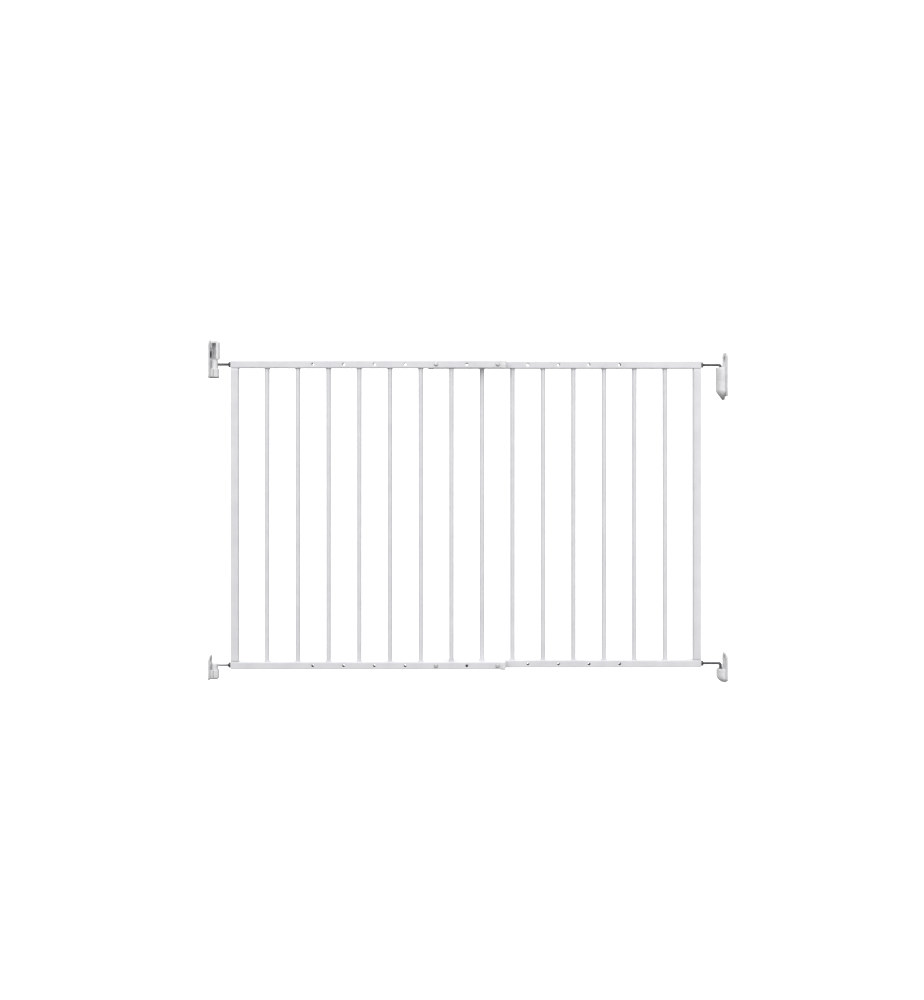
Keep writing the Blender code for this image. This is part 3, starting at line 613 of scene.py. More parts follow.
def boltsAndNuts(steel, brightSteel):
    # a bolt and a nut at each clamp, and a lock nut on each spindle
    for level in ("top", "bottom"):
        for place in ("inner", "outer"):
            name = f"{level}_{place}_clamp"
            low, high = boxOf(name + "_bolt")
            middle = (low + high) / 2
            skin = boltSkin(low, high)
            addPiece(name + "_bolt_head", [turned(skin, "y", (middle[0], low[1], middle[2]))],
                     brightSteel, [name + "_bolt"], 30)
            low, high = boxOf(name + "_nut")
            middle = (low + high) / 2
            skin = nutSkin(high[1] - low[1], nutLook["boltBore"])
            addPiece(name + "_nut_hex", [turned(skin, "y", (middle[0], low[1], middle[2]))],
                     brightSteel, [name + "_nut"], 30)
    for side in ("hinge", "latch"):
        for level in ("top", "bottom"):
            node = f"{side}_{level}_lock_nut"
            low, high = boxOf(node)
            middle = (low + high) / 2
            skin = nutSkin(high[0] - low[0], nutLook["rodBore"])
            addPiece(node + "_hex", [turned(skin, "x", (low[0], middle[1], middle[2]))],
                     steel, [node], 30)
    print("bolts and nuts made")


rodLook = {"bendRadius": 4.0 * mm, "pitch": 1.0 * mm, "threadDepth": 0.45 * mm, "sides": 28,
           "perTurn": 8, "footChamfer": 0.6 * mm, "shortLeg": 1.2 * mm}


def spindleSkin(low, high, outward, legFoot, threadEnd):
    # carries a circle up the leg, round the bend and out along the rod; on the rod the radius
    # is R - depth x a triangle wave of (distance / pitch - angle / turn)
    look = rodLook
    radius = (high[1] - low[1]) / 2
    bend = look["bendRadius"]
    axisZ = high[2] - radius
    legX = low[0] + radius if outward > 0 else high[0] - radius
    farX = high[0] if outward > 0 else low[0]
    leg = legFoot - bend
    rodLength = abs(farX - legX) - bend
    threadFrom, threadTo = 1.0 * mm, abs(threadEnd - legX) - bend + 3 * mm
    step = look["pitch"] / look["perTurn"]
    s = [np.array([0, 0.25, 1.0]) * look["footChamfer"]]
    if leg > look["shortLeg"]:
        s.append(np.linspace(look["footChamfer"] * 1.5, leg, 6)[:-1])
    s.append(leg + np.linspace(0, bend * math.pi / 2, 14))
    start = leg + bend * math.pi / 2
    s.append(start + np.arange(threadFrom, threadTo, step))
    s.append(np.linspace(start + threadTo + step, start + rodLength - 0.5 * mm, 4))
    s.append(np.array([start + rodLength - 0.3 * mm, start + rodLength]))
    s = np.concatenate(s)
    a = np.clip((s - leg) / bend, 0, math.pi / 2)
    on = np.clip(s - start, 0, None)
    x = bend * (1 - np.cos(a)) + on
    z = -legFoot + np.minimum(s, leg) + bend * np.sin(a)
    tangent = np.stack([np.sin(a), 0 * a, np.cos(a)], -1)
    sideways = np.array([0, 1.0, 0])
    normal = np.cross(tangent, sideways)
    angles = np.arange(look["sides"]) * tau / look["sides"]
    phase = ((on / look["pitch"])[:, None] - angles[None, :] / tau) % 1
    ridge = np.abs(phase * 2 - 1)
    fade = np.clip((on - threadFrom) / (1.5 * mm), 0, 1)
    fade = fade * np.clip((threadTo - on) / (1 * mm), 0, 1)
    radii = radius - look["threadDepth"] * fade[:, None] * ridge
    ends = np.minimum(s, start + rodLength - s)
    chamfer = look["footChamfer"] * np.clip(1 - ends / look["footChamfer"], 0, 1) ** 1.5
    radii = radii - 0.6 * chamfer[:, None]
    middleY = np.full(len(s), (low[1] + high[1]) / 2)
    centre = np.stack([legX + outward * x, middleY, axisZ + z], -1)
    mirror = np.array([outward, 1, 1])
    rings = (centre[:, None, :] + radii[..., None]
             * (np.cos(angles)[None, :, None] * (normal * mirror)[:, None, :]
                + np.sin(angles)[None, :, None] * sideways))
    wear = fade[:, None] * (1 - ridge) * 0.9 + 0.25 * (1 - fade[:, None])
    return loft(rings, wear=wear)


def spindles(steel, brightSteel):
    # one bent rod at each corner; the lower hinge rod has lost its plating
    for side, outward in (("hinge", 1), ("latch", -1)):
        for level in ("top", "bottom"):
            node = f"{side}_{level}_spindle"
            low, high = boxOf(node)
            radius = (high[1] - low[1]) / 2
            foot = high[2] - radius - low[2]
            nutLow, nutHigh = boxOf(f"{side}_{level}_lock_nut")
            end = nutHigh[0] if outward > 0 else nutLow[0]
            look = brightSteel if node == "hinge_bottom_spindle" else steel
            addPiece(node + "_rod", [spindleSkin(low, high, outward, foot, end)], look, [node],
                     60)
    print("spindles made")


def starRadius(outline, centre, angles):
    # distance from centre to an outline along each angle; the outline goes once round it
    rel = outline - np.asarray(centre)
    turn = np.arctan2(rel[:, 1], rel[:, 0]) % tau
    order = np.argsort(turn)
    reach = np.hypot(rel[:, 0], rel[:, 1])[order]
    return np.interp(angles % tau, turn[order], reach, period=tau)


def rounded(corners, radii, spacing=0.15 * mm):
    # a closed polygon with arcs of the given radii at its corners, as dense points. An arc's
    # point = (start x sin((1 - t) angle) + end x sin(t angle)) / sin(angle), from its middle
    corners = np.asarray(corners, float)
    radii = np.broadcast_to(radii, len(corners))
    t = np.linspace(0, 1, 13)[:, None]
    arcs = []
    for k, p in enumerate(corners):
        a, b = corners[k - 1], corners[(k + 1) % len(corners)]
        u, v = (a - p) / np.linalg.norm(a - p), (b - p) / np.linalg.norm(b - p)
        inner = math.acos(np.clip(u @ v, -1, 1))
        cut = radii[k] / math.tan(inner / 2)
        middle = p + (u + v) / np.linalg.norm(u + v) * radii[k] / math.sin(inner / 2)
        first, last, turn = p + u * cut - middle, p + v * cut - middle, math.pi - inner
        arc = first * np.sin((1 - t) * turn) + last * np.sin(t * turn)
        arcs.append(middle + arc / math.sin(turn))
    points = np.concatenate(arcs)
    legs = np.roll(points, -1, 0) - points
    counts = np.maximum(1, (np.linalg.norm(legs, axis=1) / spacing).astype(int))
    which = np.repeat(np.arange(len(points)), counts)
    step = np.arange(len(which)) - np.repeat(np.cumsum(counts) - counts, counts)
    return points[which] + legs[which] * (step / counts[which])[:, None]


plateLook = {"thickness": 4.0 * mm, "edge": 1.3 * mm, "pocketDepth": 2.9 * mm,
             "holeRadius": 2.3 * mm, "footCorner": 3.7 * mm, "topCorner": 9.5 * mm, "sides": 120}


def plateOutline(half, foot, top, inset):
    # a rectangle with large corners at the top and small ones at the foot, moved in by inset
    side, low, high = half - inset, foot + inset, top - inset
    above, below = plateLook["topCorner"] - inset, plateLook["footCorner"] - inset
    corners = [(side, low), (side, high), (-side, high), (-side, low)]
    return rounded(corners, [below, above, above, below])


def plateSkin(half, foot, top, pocketHeight, pocketRadius, darkness):
    # rings round the screw pocket: screw hole, pocket floor and wall, lip, face, edge, back
    look = plateLook
    angles = np.arange(look["sides"]) * tau / look["sides"]
    t, edge, hole = look["thickness"], look["edge"], look["holeRadius"]
    floor = t - look["pocketDepth"]
    centre = (0, pocketHeight)
    soft = 0.6 * mm
    rows = [(0.0, hole, 1), (floor - 0.4 * mm, hole, 1), (floor, hole + 0.9 * mm, 1),
            (floor, pocketRadius - soft, 0.95),
            (floor + 0.3 * soft, pocketRadius - 0.3 * soft, 0.9),
            (floor + soft, pocketRadius, 0.8), (t - soft, pocketRadius, 0.45),
            (t - 0.3 * soft, pocketRadius + 0.3 * soft, 0.15), (t, pocketRadius + soft, 0)]
    rings, crevice = [], []
    for x, r, c in rows:
        rings.append((x, np.full(len(angles), r)))
        crevice.append(c)
    inner = np.full(len(angles), pocketRadius + soft)
    faceEdge = starRadius(plateOutline(half, foot, top, edge), centre, angles)
    for share in (0.33, 0.66):
        rings.append((t, inner + (faceEdge - inner) * share))
        crevice.append(0)
    for turn in np.linspace(0, math.pi / 2, 6):
        inset = edge * (1 - math.sin(turn))
        radii = starRadius(plateOutline(half, foot, top, inset), centre, angles)
        rings.append((t - edge * (1 - math.cos(turn)), radii))
        crevice.append(0)
    outer = rings[-1][1]
    rings += [(0.3 * mm, outer), (0.0, outer - 0.3 * mm)]
    crevice += [0.3, 0.6]
    skin = [np.stack([x + 0 * angles, r * np.cos(angles), pocketHeight + r * np.sin(angles)], -1)
            for x, r in rings]
    crevice = np.array(crevice, float)
    # painted shade: crevice darkens the pocket and the back edge against the wall, and dark,
    # scaled by darkness, turns the pocket towards near black
    dark = np.clip(crevice * 1.3, 0, 1) * darkness
    dark[len(rows):] = 0  # only the pocket is dark
    return loft(skin, closed=True, crevice=crevice, dark=dark)


def cupSkin(outlineAt, levels, socketAxis, socketRadius, socketFloor, footShade, crease=None):
    # outlineAt(level) gives the plan at each height; over the rim the skin goes down the socket.
    # dark = foot shade amount x (1 - share of the foot shade height) to the power 0.6, painted
    # shade on the foot, and the crease's line, also painted shade; the crevice down the socket is
    # painted shade
    rimEdge, sides, creaseReach = 0.7 * mm, 192, 0.6 * mm
    angles = np.arange(sides) * tau / sides
    rings, crevice = [], []
    for z in levels:
        outline, centre = outlineAt(z)
        r = starRadius(outline, centre, angles)
        rings.append(np.stack([centre[0] + r * np.cos(angles), centre[1] + r * np.sin(angles),
                               np.full(sides, z)], -1))
        crevice.append(0.0)
    rim = levels[-1]
    last = rings[-1]
    towards = np.stack([socketAxis + socketRadius * np.cos(angles), socketRadius * np.sin(angles),
                        np.full(sides, rim)], -1)
    for turn in (0.5, 1.0):
        a = turn * math.pi / 2
        shift = (towards - last) / np.linalg.norm(towards - last, axis=1)[:, None]
        ring = last + shift * rimEdge * (1 - math.cos(a))
        ring[:, 2] = rim + rimEdge * math.sin(a)
        rings.append(ring)
        crevice.append(0.0)
    for radius, z, c in ((socketRadius + 0.4 * mm, rim + rimEdge, 0.1),
                         (socketRadius, rim + rimEdge - 0.4 * mm, 0.4),
                         (socketRadius, (rim + socketFloor) / 2, 1),
                         (socketRadius, socketFloor, 1)):
        rings.append(np.stack([socketAxis + radius * np.cos(angles), radius * np.sin(angles),
                               np.full(sides, z)], -1))
        crevice.append(c)
    heights = np.array([ring[0, 2] for ring in rings])
    dark = footShade[0] * np.clip(1 - (heights - levels[0]) / footShade[1], 0, 1) ** 0.6
    dark = np.repeat(dark[:, None], sides, 1)
    # the crease's dark line is painted shade in the notch
    if crease:
        near = np.abs(np.array(rings)[:, :, 0] - crease) < creaseReach
        dark = np.maximum(dark, 0.7 * near)
    dark[len(levels):] = 0
    return loft(rings, crevice=crevice, dark=dark)


def toBracket(skin, corner, turnAround):
    # a skin laid out from a wall face at X 0 goes to its bracket, turned about Z on the latch side
    p = skin["points"]
    if turnAround:
        p = p * [-1, -1, 1]
    return dict(skin, points=p + np.asarray(corner))


def bracketOrigin(side, level):
    # wall face, the middle of the plate's width and the spindle's own height
    low, high = boxOf(f"{side}_{level}_bracket")
    rodLow, rodHigh = boxOf(f"{side}_{level}_spindle")
    x = low[0] if side == "hinge" else high[0]
    rodRadius = (rodHigh[1] - rodLow[1]) / 2
    return np.array([x, (rodLow[1] + rodHigh[1]) / 2, rodHigh[2] - rodRadius]), low, high


# the foot entry, amount and height, paints shade on the cup's bottom, and darkness paints shade
# into the plate pockets
hingeLook = {"topPocket": (20.5 * mm, 8.5 * mm), "bottomPocket": (11.5 * mm, 6.0 * mm),
             "reach": 20.5 * mm, "half": 8.5 * mm, "darkness": {"top": 1.0, "bottom": 0.5},
             "axis": 12 * mm, "socket": 7.1 * mm, "floor": -26 * mm, "rim": -9.3 * mm,
             "foot": -28.2 * mm, "footEdge": 1.8 * mm, "bulge": 0.9 * mm, "narrowing": 1.0 * mm,
             "footShade": (0.85, 3.2 * mm), "crease": 10.5 * mm, "creaseDepth": 0.6 * mm}


def hingeCup(bulge):
    # plan corners from the wall round the far side, with a notch for the crease; the reach
    # swells below the rim by bulge x sine of the height's share and narrows to the foot
    look = hingeLook

    def outlineAt(z):
        share = (z - look["foot"]) / (look["rim"] - look["foot"])
        swell = bulge * (look["bulge"] * math.sin(math.pi * min(1, share) ** 0.8)
                         - look["narrowing"] * (1 - share) ** 2)
        low = max(0.0, 1 - (z - look["foot"]) / look["footEdge"])
        inset = look["footEdge"] * 0.8 * (1 - math.sqrt(max(0.0, 1 - low * low)))
        reach = look["reach"] + swell - inset
        half = look["half"] - inset + 0.5 * swell
        crease, wide = look["crease"], half + 1.0 * mm
        notch = [(crease - 0.6 * mm, wide), (crease, wide - look["creaseDepth"]),
                 (crease + 0.6 * mm, wide)]
        corners = [(1.5 * mm, half), (1.5 * mm, -half)] + [(x, -y) for x, y in notch]
        corners += [(reach - 1.6 * mm, -0.66 * half), (reach, -0.3 * half), (reach, 0.3 * half),
                    (reach - 1.6 * mm, 0.66 * half)] + notch[::-1]
        radii = [0.5 * mm] * 2 + [0.15 * mm] * 3 + [2.5 * mm, 2.0 * mm, 2.0 * mm, 2.5 * mm]
        radii += [0.15 * mm] * 3
        return rounded(corners, radii), (look["axis"], 0.0)

    foot, edge = look["foot"], look["footEdge"]
    levels = [foot + edge * k for k in (0, 0.05, 0.15, 0.35, 0.65, 1)]
    levels += list(np.linspace(foot + 2.2 * edge, look["rim"], 12))
    return cupSkin(outlineAt, levels, look["axis"], look["socket"], look["floor"],
                   look["footShade"], look["crease"])


def hingeBrackets(plastic):
    # a plate and a cup in one piece; only the lower cup bulges
    look = hingeLook
    for level, pocket, bulge in (("top", look["topPocket"], 0.0),
                                 ("bottom", look["bottomPocket"], 1.0)):
        origin, low, high = bracketOrigin("hinge", level)
        half = (high[1] - low[1]) / 2
        plate = plateSkin(half, low[2] - origin[2], high[2] - origin[2], *pocket,
                          look["darkness"][level])
        skins = [toBracket(s, origin, False) for s in (plate, hingeCup(bulge))]
        addPiece(f"hinge_{level}_bracket_moulding", skins, plastic,
                 [f"hinge_{level}_bracket"])
    print("hinge brackets made")


elbowLook = {"sides": 64, "edge": 1.6 * mm, "dishEdge": 2.2 * mm, "dish": 2.6 * mm,
             "dishDepth": 0.35 * mm}


def elbowCaps(plastic):
    # a turned cap with a rounded top, dished in the middle, over each bend
    look = elbowLook
    for level in ("top", "bottom"):
        node = f"hinge_{level}_elbow_cap"
        low, high = boxOf(node)
        middle, radius = (low + high) / 2, (high[1] - low[1]) / 2
        angles = np.arange(look["sides"]) * tau / look["sides"]
        edge = look["edge"]
        profile = [(low[2], radius - 0.5 * mm), (low[2] + 0.5 * mm, radius)]
        profile += [(z, radius) for z in np.linspace(low[2] + 2 * mm, high[2] - edge, 6)[:-1]]
        profile += [(high[2] - edge + edge * math.sin(a), radius - edge + edge * math.cos(a))
                    for a in np.linspace(0, math.pi / 2, 8)]
        profile += [(high[2], radius - look["dishEdge"]),
                    (high[2] - look["dishDepth"], radius - look["dish"])]
        rings = [np.stack([middle[0] + r * np.cos(angles), middle[1] + r * np.sin(angles),
                           np.full(len(angles), z)], -1) for z, r in profile]
        crevice = np.zeros(len(rings))
        # crevice paints shade in the middle of the dish
        crevice[-1] = 0.8
        addPiece(node + "_shell", [loft(rings, crevice=crevice)], plastic, [node])
    print("elbow caps made")


def slab(outline, low, high, edge):
    # an outline in X and Z carried across Y, with both rims rounded by moving points inwards
    nextOne, before = np.roll(outline, -1, 0), np.roll(outline, 1, 0)
    along = nextOne - before
    along /= np.linalg.norm(along, axis=1)[:, None]
    area = 0.5 * np.sum(outline[:, 0] * nextOne[:, 1] - nextOne[:, 0] * outline[:, 1])
    inward = np.stack([-along[:, 1], along[:, 0]], -1) * math.copysign(1, area)
    rows = []
    for a in np.linspace(0, math.pi / 2, 5):
        rows.append((low + edge * (1 - math.sin(a)), edge * (1 - math.cos(a))))
    rows = rows[::-1]
    rows += [(high + low - y, d) for y, d in reversed(rows)]
    rings = [placed(outline + inward * d, y, "y") for y, d in rows]
    return loft(rings, fan=False)


stopLook = {"web": 5.5 * mm, "back": 2.7 * mm, "bridge": 5.0 * mm, "backFoot": 33 * mm,
            "edge": 0.9 * mm, "panel": 2.5 * mm, "panelLeft": 1.35 * mm,
            "panelRight": 2.8 * mm, "panelRaise": 0.1 * mm, "panelLap": 1.0 * mm,
            "panelInset": 0.05 * mm}


def liftStop(plastic):
    # the hook's outline from the wall side, round over the top and down to its foot, carried
    # across its width, with a thin panel behind its hollow
    look = stopLook
    low, high = boxOf("hinge_lift_stop")
    origin, _, _ = bracketOrigin("hinge", "top")
    inner = high[2] - look["bridge"]
    backFoot = origin[2] + look["backFoot"]
    corners = [(low[0], high[2]), (low[0], backFoot), (low[0] + look["back"], backFoot),
               (low[0] + look["back"], inner), (high[0] - look["web"], inner),
               (high[0] - look["web"], low[2]), (high[0], low[2]), (high[0], high[2])]
    radii = [2.0 * mm, 0.9 * mm, 0.9 * mm, 1.2 * mm, 1.2 * mm, 1.0 * mm, 1.0 * mm, 4.6 * mm]
    outline = rounded(corners, radii, 1.0 * mm)
    skin = slab(outline, low[1], high[1], look["edge"])
    left, right = low[0] + look["panelLeft"], high[0] - look["panelRight"]
    foot, top = low[2] + look["panelRaise"], inner + look["panelLap"]
    corners = [(left, top), (left, foot), (right, foot), (right, top)]
    rear = high[1] - look["panelInset"]
    panel = slab(rounded(corners, 0.8 * mm, 1.0 * mm), rear - look["panel"], rear, 0.4 * mm)
    addPiece("hinge_lift_stop_hook", [skin, panel], plastic, ["hinge_lift_stop"])
    print("lift stop made")


# the foot entry, amount and height, paints shade on the lower cup's bottom, and both darkness
# entries paint shade into the plate pockets
latchLook = {"topPocket": (12 * mm, 6.8 * mm), "bottomPocket": (10.3 * mm, 7.0 * mm),
             "axis": 12 * mm, "socket": 5.0 * mm, "cupReach": 20.5 * mm, "cupWidth": 30 * mm,
             "cupRim": -11.6 * mm, "cupBottom": -38 * mm, "cupFloor": -15.9 * mm,
             "footShade": (0.45, 9 * mm), "cupRoot": 5 * mm, "cupStart": 1.5 * mm,
             "plateRaise": 4 * mm, "topDarkness": 0.25, "bottomDarkness": 0.1}


def halfEllipse(start, reach, width, belly=0.25, count=400):
    # straight sides from the wall, then a half ellipse of the rest of the reach
    straight = belly * (reach - start)
    a = np.linspace(-math.pi / 2, math.pi / 2, count)
    curve = np.stack([start + straight + (reach - start - straight) * np.cos(a),
                      width / 2 * np.sin(a)], -1)
    back = np.stack([np.full(100, start), np.linspace(width / 2, -width / 2, 100)], -1)
    upper = np.stack([np.linspace(start + straight, start, 40), np.full(40, width / 2)], -1)
    lower = upper[::-1] * [1, -1]
    return np.concatenate([curve, upper, back, lower])


def latchBrackets(plastic):
    # the lower cup's reach and width shrink below its middle as sqrt(1 - t x t), t going from
    # 0 to 1 at its bottom; the upper bracket is a plate, and the slider covers its foot
    look = latchLook
    origin, low, high = bracketOrigin("latch", "bottom")
    curveTop = (look["cupRim"] + look["cupBottom"]) / 2

    def outlineAt(z):
        t = min(1.0, max(0.0, (curveTop - z) / (curveTop - look["cupBottom"])))
        share = math.sqrt(1 - t * t)
        reach = look["cupRoot"] + (look["cupReach"] - look["cupRoot"]) * share
        width = look["cupWidth"] * share ** 0.5
        start = look["cupStart"]
        return halfEllipse(start, reach, width), ((start + reach) / 2, 0.0)

    angle = np.linspace(math.radians(86), 0, 12)
    levels = [curveTop + (look["cupBottom"] - curveTop) * math.sin(a) for a in angle]
    levels += list(np.linspace(curveTop, look["cupRim"], 6)[1:])
    cup = cupSkin(outlineAt, levels, look["axis"], look["socket"], look["cupFloor"],
                  look["footShade"])
    foot = low[2] - origin[2] + look["plateRaise"]
    plate = plateSkin((high[1] - low[1]) / 2, foot, high[2] - origin[2],
                      *look["bottomPocket"], look["bottomDarkness"])
    skins = [toBracket(s, origin, True) for s in (plate, cup)]
    addPiece("latch_bottom_bracket_moulding", skins, plastic, ["latch_bottom_bracket"])
    origin, low, high = bracketOrigin("latch", "top")
    plate = plateSkin((high[1] - low[1]) / 2, low[2] - origin[2], high[2] - origin[2],
                      *look["topPocket"], look["topDarkness"])
    addPiece("latch_top_bracket_moulding", [toBracket(plate, origin, True)], plastic,
             ["latch_top_bracket"])
    print("latch brackets made")


# the foot entry, amount and height, paints shade on the pointed tip
sliderLook = {"face": 4.3 * mm, "reach": 21.8 * mm, "width": 30 * mm, "axis": 12 * mm,
              "socket": 5 * mm, "notch": 3.7 * mm, "notchDepth": 11.4 * mm, "rim": -5.2 * mm,
              "shoulder": -52 * mm, "tip": -73 * mm, "tipFrom": 8 * mm, "floor": -18.2 * mm,
              "ribTop": -20 * mm, "ribPitch": 4 * mm, "ribs": 4, "ribHeight": 0.9 * mm,
              "footShade": (0.80, 17 * mm),
              "tipShare": 0.05, "endShare": 0.16, "roundedFor": 0.09}


def latchSlider(plastic):
    # columns pair a point of the plan with one of the socket, so the rod's notch is the
    # columns between -notch and +notch, whose top lies lower. The pointed foot grows as half
    # a cosine wave, the ribs are dips of 1 - |sine| of the height
    look = sliderLook
    origin, _, _ = bracketOrigin("latch", "top")
    plan = halfEllipse(look["face"], look["reach"], look["width"])
    front = plan[plan[:, 0] > look["axis"]]
    notchY = np.linspace(look["notch"], -look["notch"], 9)
    outerNotch = np.stack([np.interp(notchY, front[:, 1], front[:, 0]), notchY], -1)
    innerNotch = np.stack([look["axis"] + np.sqrt(look["socket"] ** 2 - notchY ** 2), notchY], -1)
    start = np.argmin(np.abs(plan[:, 1] - look["notch"]) + 10 * (plan[:, 0] < look["axis"]))
    end = np.argmin(np.abs(plan[:, 1] + look["notch"]) + 10 * (plan[:, 0] < look["axis"]))
    wayRound = np.concatenate([plan[start:], plan[:end + 1]])
    length = np.concatenate([[0], np.cumsum(np.linalg.norm(np.diff(wayRound, axis=0), axis=1))])
    count = 88
    at = np.linspace(0, length[-1], count)
    outerBody = np.stack([np.interp(at, length, wayRound[:, k]) for k in (0, 1)], -1)
    half = math.asin(look["notch"] / look["socket"])
    turn = np.linspace(half, tau - half, count)
    innerBody = np.stack([look["axis"] + look["socket"] * np.cos(turn),
                          look["socket"] * np.sin(turn)], -1)
    outer = np.concatenate([outerBody, outerNotch[::-1]])
    inner = np.concatenate([innerBody, innerNotch[::-1]])
    lowered = np.concatenate([np.zeros(count), np.full(9, look["notchDepth"])])
    face, rings, crevice = look["face"], [], []

    def ringAt(z, reach, width, inset=0.0):
        shape = outer.copy()
        shape[:, 0] = face + (shape[:, 0] - face) * (reach - face) / (look["reach"] - face)
        shape[:, 1] *= width / look["width"]
        middle = np.array([(face + reach) / 2, 0])
        away = shape - middle
        return np.column_stack([shape - away / np.linalg.norm(away, axis=1)[:, None] * inset,
                                np.full(len(shape), z)])

    tip, shoulder = look["tip"], look["shoulder"]
    for t in np.concatenate([[0.0, 0.012, 0.04, 0.09], np.linspace(0.16, 1, 14)]):
        if t > look["roundedFor"]:
            wave = 0.5 - 0.5 * math.cos(math.pi * t ** 0.9)
            grow = look["endShare"] + (1 - look["endShare"]) * wave
        else:
            rise = math.sqrt(t / look["roundedFor"])
            grow = look["tipShare"] + (look["endShare"] - look["tipShare"]) * rise
        reach = look["tipFrom"] + (look["reach"] - look["tipFrom"]) * grow
        width = look["width"] * (0.3 + 0.7 * grow)
        rings.append(ringAt(tip + (shoulder - tip) * t, reach, width))
        crevice.append(0.0)
    ribFoot = look["ribTop"] - look["ribPitch"] * look["ribs"]
    frontShare = np.clip((outer[:, 0] - look["axis"]) / (look["reach"] - look["axis"]), 0, 1)
    for z in np.concatenate([np.linspace(shoulder + 1.5 * mm, ribFoot - 1 * mm, 5),
                             np.linspace(ribFoot, look["ribTop"], 12 * look["ribs"] + 1)]):
        ring = ringAt(z, look["reach"], look["width"])
        inRib = (z - ribFoot) / look["ribPitch"] % 1
        ribbed = ribFoot < z < look["ribTop"]
        dip = look["ribHeight"] * (1 - abs(math.sin(math.pi * inRib)) ** 0.6) if ribbed else 0
        ring[:, 0] -= dip * frontShare ** 0.5
        rings.append(ring)
        # crevice in the rib dips is painted shade
        crevice.append(1.2 * dip / look["ribHeight"])
    top = ringAt(0.0, look["reach"], look["width"])
    top[:, 2] = look["rim"] - lowered - 0.7 * mm
    middleRing = top.copy()
    middleRing[:, 2] = (look["ribTop"] + 0.6 * mm + top[:, 2]) / 2
    rings += [middleRing, top]
    for inset, rise in ((0.2 * mm, 0.45 * mm), (0.7 * mm, 0.7 * mm)):
        ring = ringAt(0.0, look["reach"], look["width"], inset)
        ring[count:, :2] = top[count:, :2]
        ring[:, 2] = top[:, 2] + rise
        rings.append(ring)
    crevice += [0, 0, 0, 0]
    inside = np.column_stack([inner, top[:, 2] + 0.7 * mm])
    mid = np.column_stack([inner, (inside[:, 2] + look["floor"]) / 2])
    low = np.column_stack([inner, np.full(len(inner), look["floor"])])
    rings += [inside, mid, low]
    # crevice down the socket is painted shade
    crevice += [0.2, 1, 1]
    heights = np.array([ring[0, 2] for ring in rings])
    # dark is painted shade on the pointed foot, fading over its lowest part
    dark = look["footShade"][0] * np.clip(1 - (heights - tip) / look["footShade"][1], 0, 1) ** 1.3
    dark[-3:] = 0
    skin = toBracket(loft(rings, crevice=crevice, dark=dark), origin, True)
    addPiece("latch_slider_moulding", [skin], plastic, ["latch_slider"])
    print("latch slider made")


cameraLook = {"place": (0.5239, -2.208, 0.4868), "lens": 38.37, "sensor": 36.0,
              "shift": -0.0700}
lightLook = {"key": 30.0, "keySize": 1.4, "keyPlace": (-1.2, -2.2, 2.4), "keyAim": (0.5, 0, 0.3),
             "fill": 14.0, "fillSize": 2.0, "fillPlace": (2.2, -2.0, 0.5),
             "fillAim": (0.5, 0, 0.2), "sky": 1.72, "ground": 0.26, "sideDrop": 0.70}
floorLook = {"drop": 0.5 * mm, "glow": 0.75, "darker": (0.90, 0.90, 0.90, 1),
             "paler": (0.94, 0.94, 0.94, 1), "cloudSize": 0.3, "left": -9.0, "right": 10.0,
             "front": -6.0, "bendFrom": 3.0, "bend": 1.2, "height": 7.0}


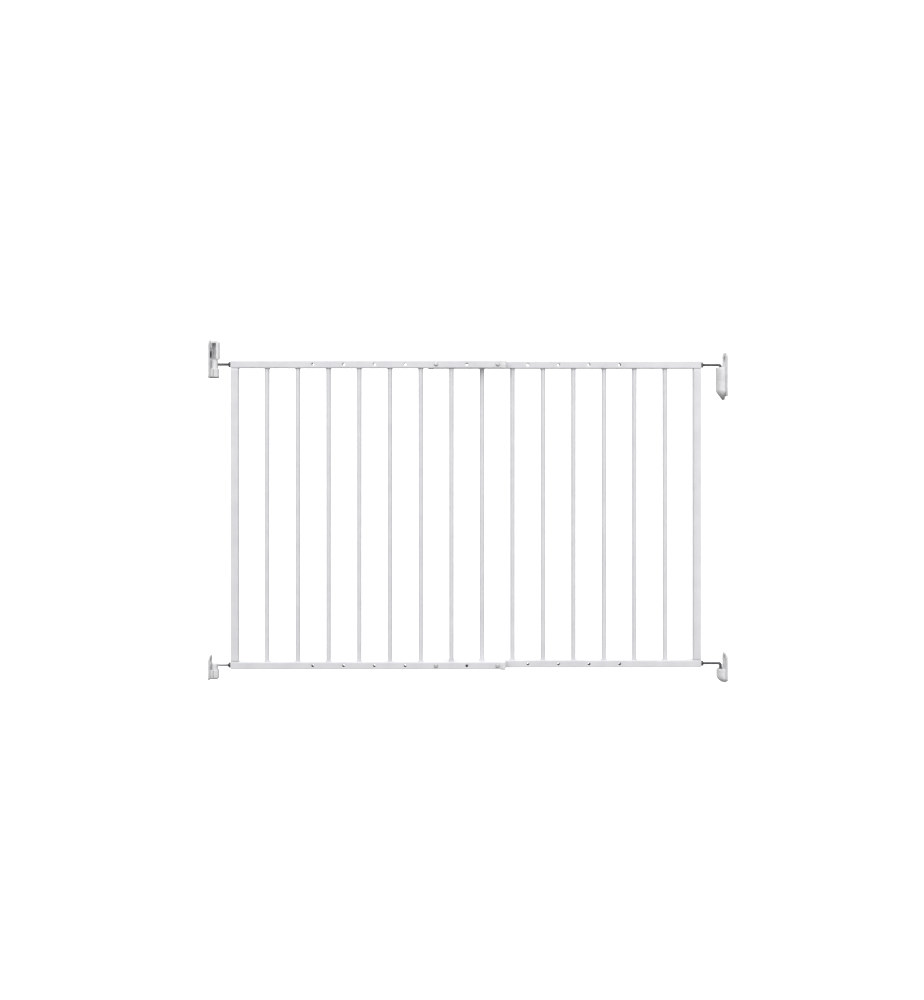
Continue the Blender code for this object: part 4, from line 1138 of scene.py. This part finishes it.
def makeStage():
    # a pale floor that curves up into a backdrop, a soft key from upper left and a fill
    look = floorLook
    low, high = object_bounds()
    material, tree, shader = newMaterial("paleFloor")
    place = Val.node(tree, "ShaderNodeTexCoord", {}, {}, "Object")
    cloud = noiseAt(tree, place, look["cloudSize"], 3.0)
    colour = mixColour(tree, cloud, look["darker"], look["paler"])
    setUp(tree, shader, {"Base Color": colour, "Roughness": 0.6, "Emission Color": colour,
                         "Emission Strength": look["glow"]})
    bpy.context.scene.view_settings.view_transform = "Standard"
    floor, bend = low[2] - look["drop"], look["bend"]
    profile = [(look["front"], floor)]
    profile += [(look["bendFrom"] + bend * math.sin(t), floor + bend * (1 - math.cos(t)))
                for t in np.linspace(0, math.pi / 2, 16)]
    profile.append((look["bendFrom"] + bend, floor + look["height"]))
    points = np.array([[(x, y, z) for x in (look["left"], look["right"])]
                       for y, z in profile]).reshape(-1, 3)
    rows = len(profile)
    faces = [(2 * k, 2 * k + 1, 2 * k + 3, 2 * k + 2) for k in range(rows - 1)]
    mesh = bpy.data.meshes.new("stageFloor")
    mesh.from_pydata(points, [], faces)
    mesh.shade_smooth()
    mesh.materials.append(material)
    stage = bpy.data.objects.new("stageFloor", mesh)
    bpy.context.scene.collection.objects.link(stage)
    stage.visible_diffuse = stage.visible_glossy = False
    world = bpy.data.worlds.new("studio")
    world.use_nodes = True
    sky = world.node_tree
    sky.nodes["Background"].inputs["Color"].default_value = (1, 1, 1, 1)
    # strength = ground to sky with the direction's height, less towards both side walls
    way = Val.node(sky, "ShaderNodeTexCoord", {}, {}, "Generated")
    split = sky.nodes.new("ShaderNodeSeparateXYZ")
    sky.links.new(way.socket, split.inputs[0])
    across, up = Val(sky, split.outputs[0]), Val(sky, split.outputs[2])
    rise = ((up + 0.5) * 1.05).clamped()
    level = lightLook["ground"] + (lightLook["sky"] - lightLook["ground"]) * rise
    level = level * (1.0 - lightLook["sideDrop"] * across * across)
    sky.links.new(level.socket, sky.nodes["Background"].inputs["Strength"])
    bpy.context.scene.world = world
    for name in ("key", "fill"):
        place, aim = (np.array(lightLook[name + part]) for part in ("Place", "Aim"))
        data = bpy.data.lights.new(name, "AREA")
        data.energy, data.size = lightLook[name], lightLook[name + "Size"]
        light = bpy.data.objects.new(name, data)
        light.location = place
        light.rotation_euler = Vector(aim - place).to_track_quat("-Z", "Y").to_euler()
        bpy.context.scene.collection.objects.link(light)
    data = bpy.data.cameras.new("camera")
    data.lens, data.sensor_width = cameraLook["lens"], cameraLook["sensor"]
    data.shift_y = cameraLook["shift"]
    camera = bpy.data.objects.new("camera", data)
    camera.location = cameraLook["place"]
    camera.rotation_euler = (math.pi / 2, 0, 0)
    bpy.context.scene.collection.objects.link(camera)
    bpy.context.scene.camera = camera
    print("stage made")


paint = powderCoat()
plastic = mouldedPlastic("whitePlastic", plasticLook["colour"], plasticLook["shade"])
greyPlastic = mouldedPlastic("greyPlastic", plasticLook["grey"], plasticLook["greyShade"])
steel = platedSteel("darkSteel", steelLook["dark"], steelLook["worn"],
                    steelLook["platedMetallic"])
brightSteel = platedSteel("brightSteel", steelLook["worn"], steelLook["bright"],
                          steelLook["bareMetallic"])
railsAndUprights(paint)
bars(paint)
endCaps(plastic)
boltsAndNuts(steel, brightSteel)
spindles(steel, brightSteel)
hingeBrackets(plastic)
elbowCaps(plastic)
liftStop(plastic)
latchBrackets(plastic)
latchSlider(plastic)
for node, finish in (("insert", greyPlastic), ("bush", plastic)):
    for name, cad in frame["nodes"].items():
        if name.endswith(node):
            cad.data.materials.clear()
            cad.data.materials.append(finish)
makeStage()
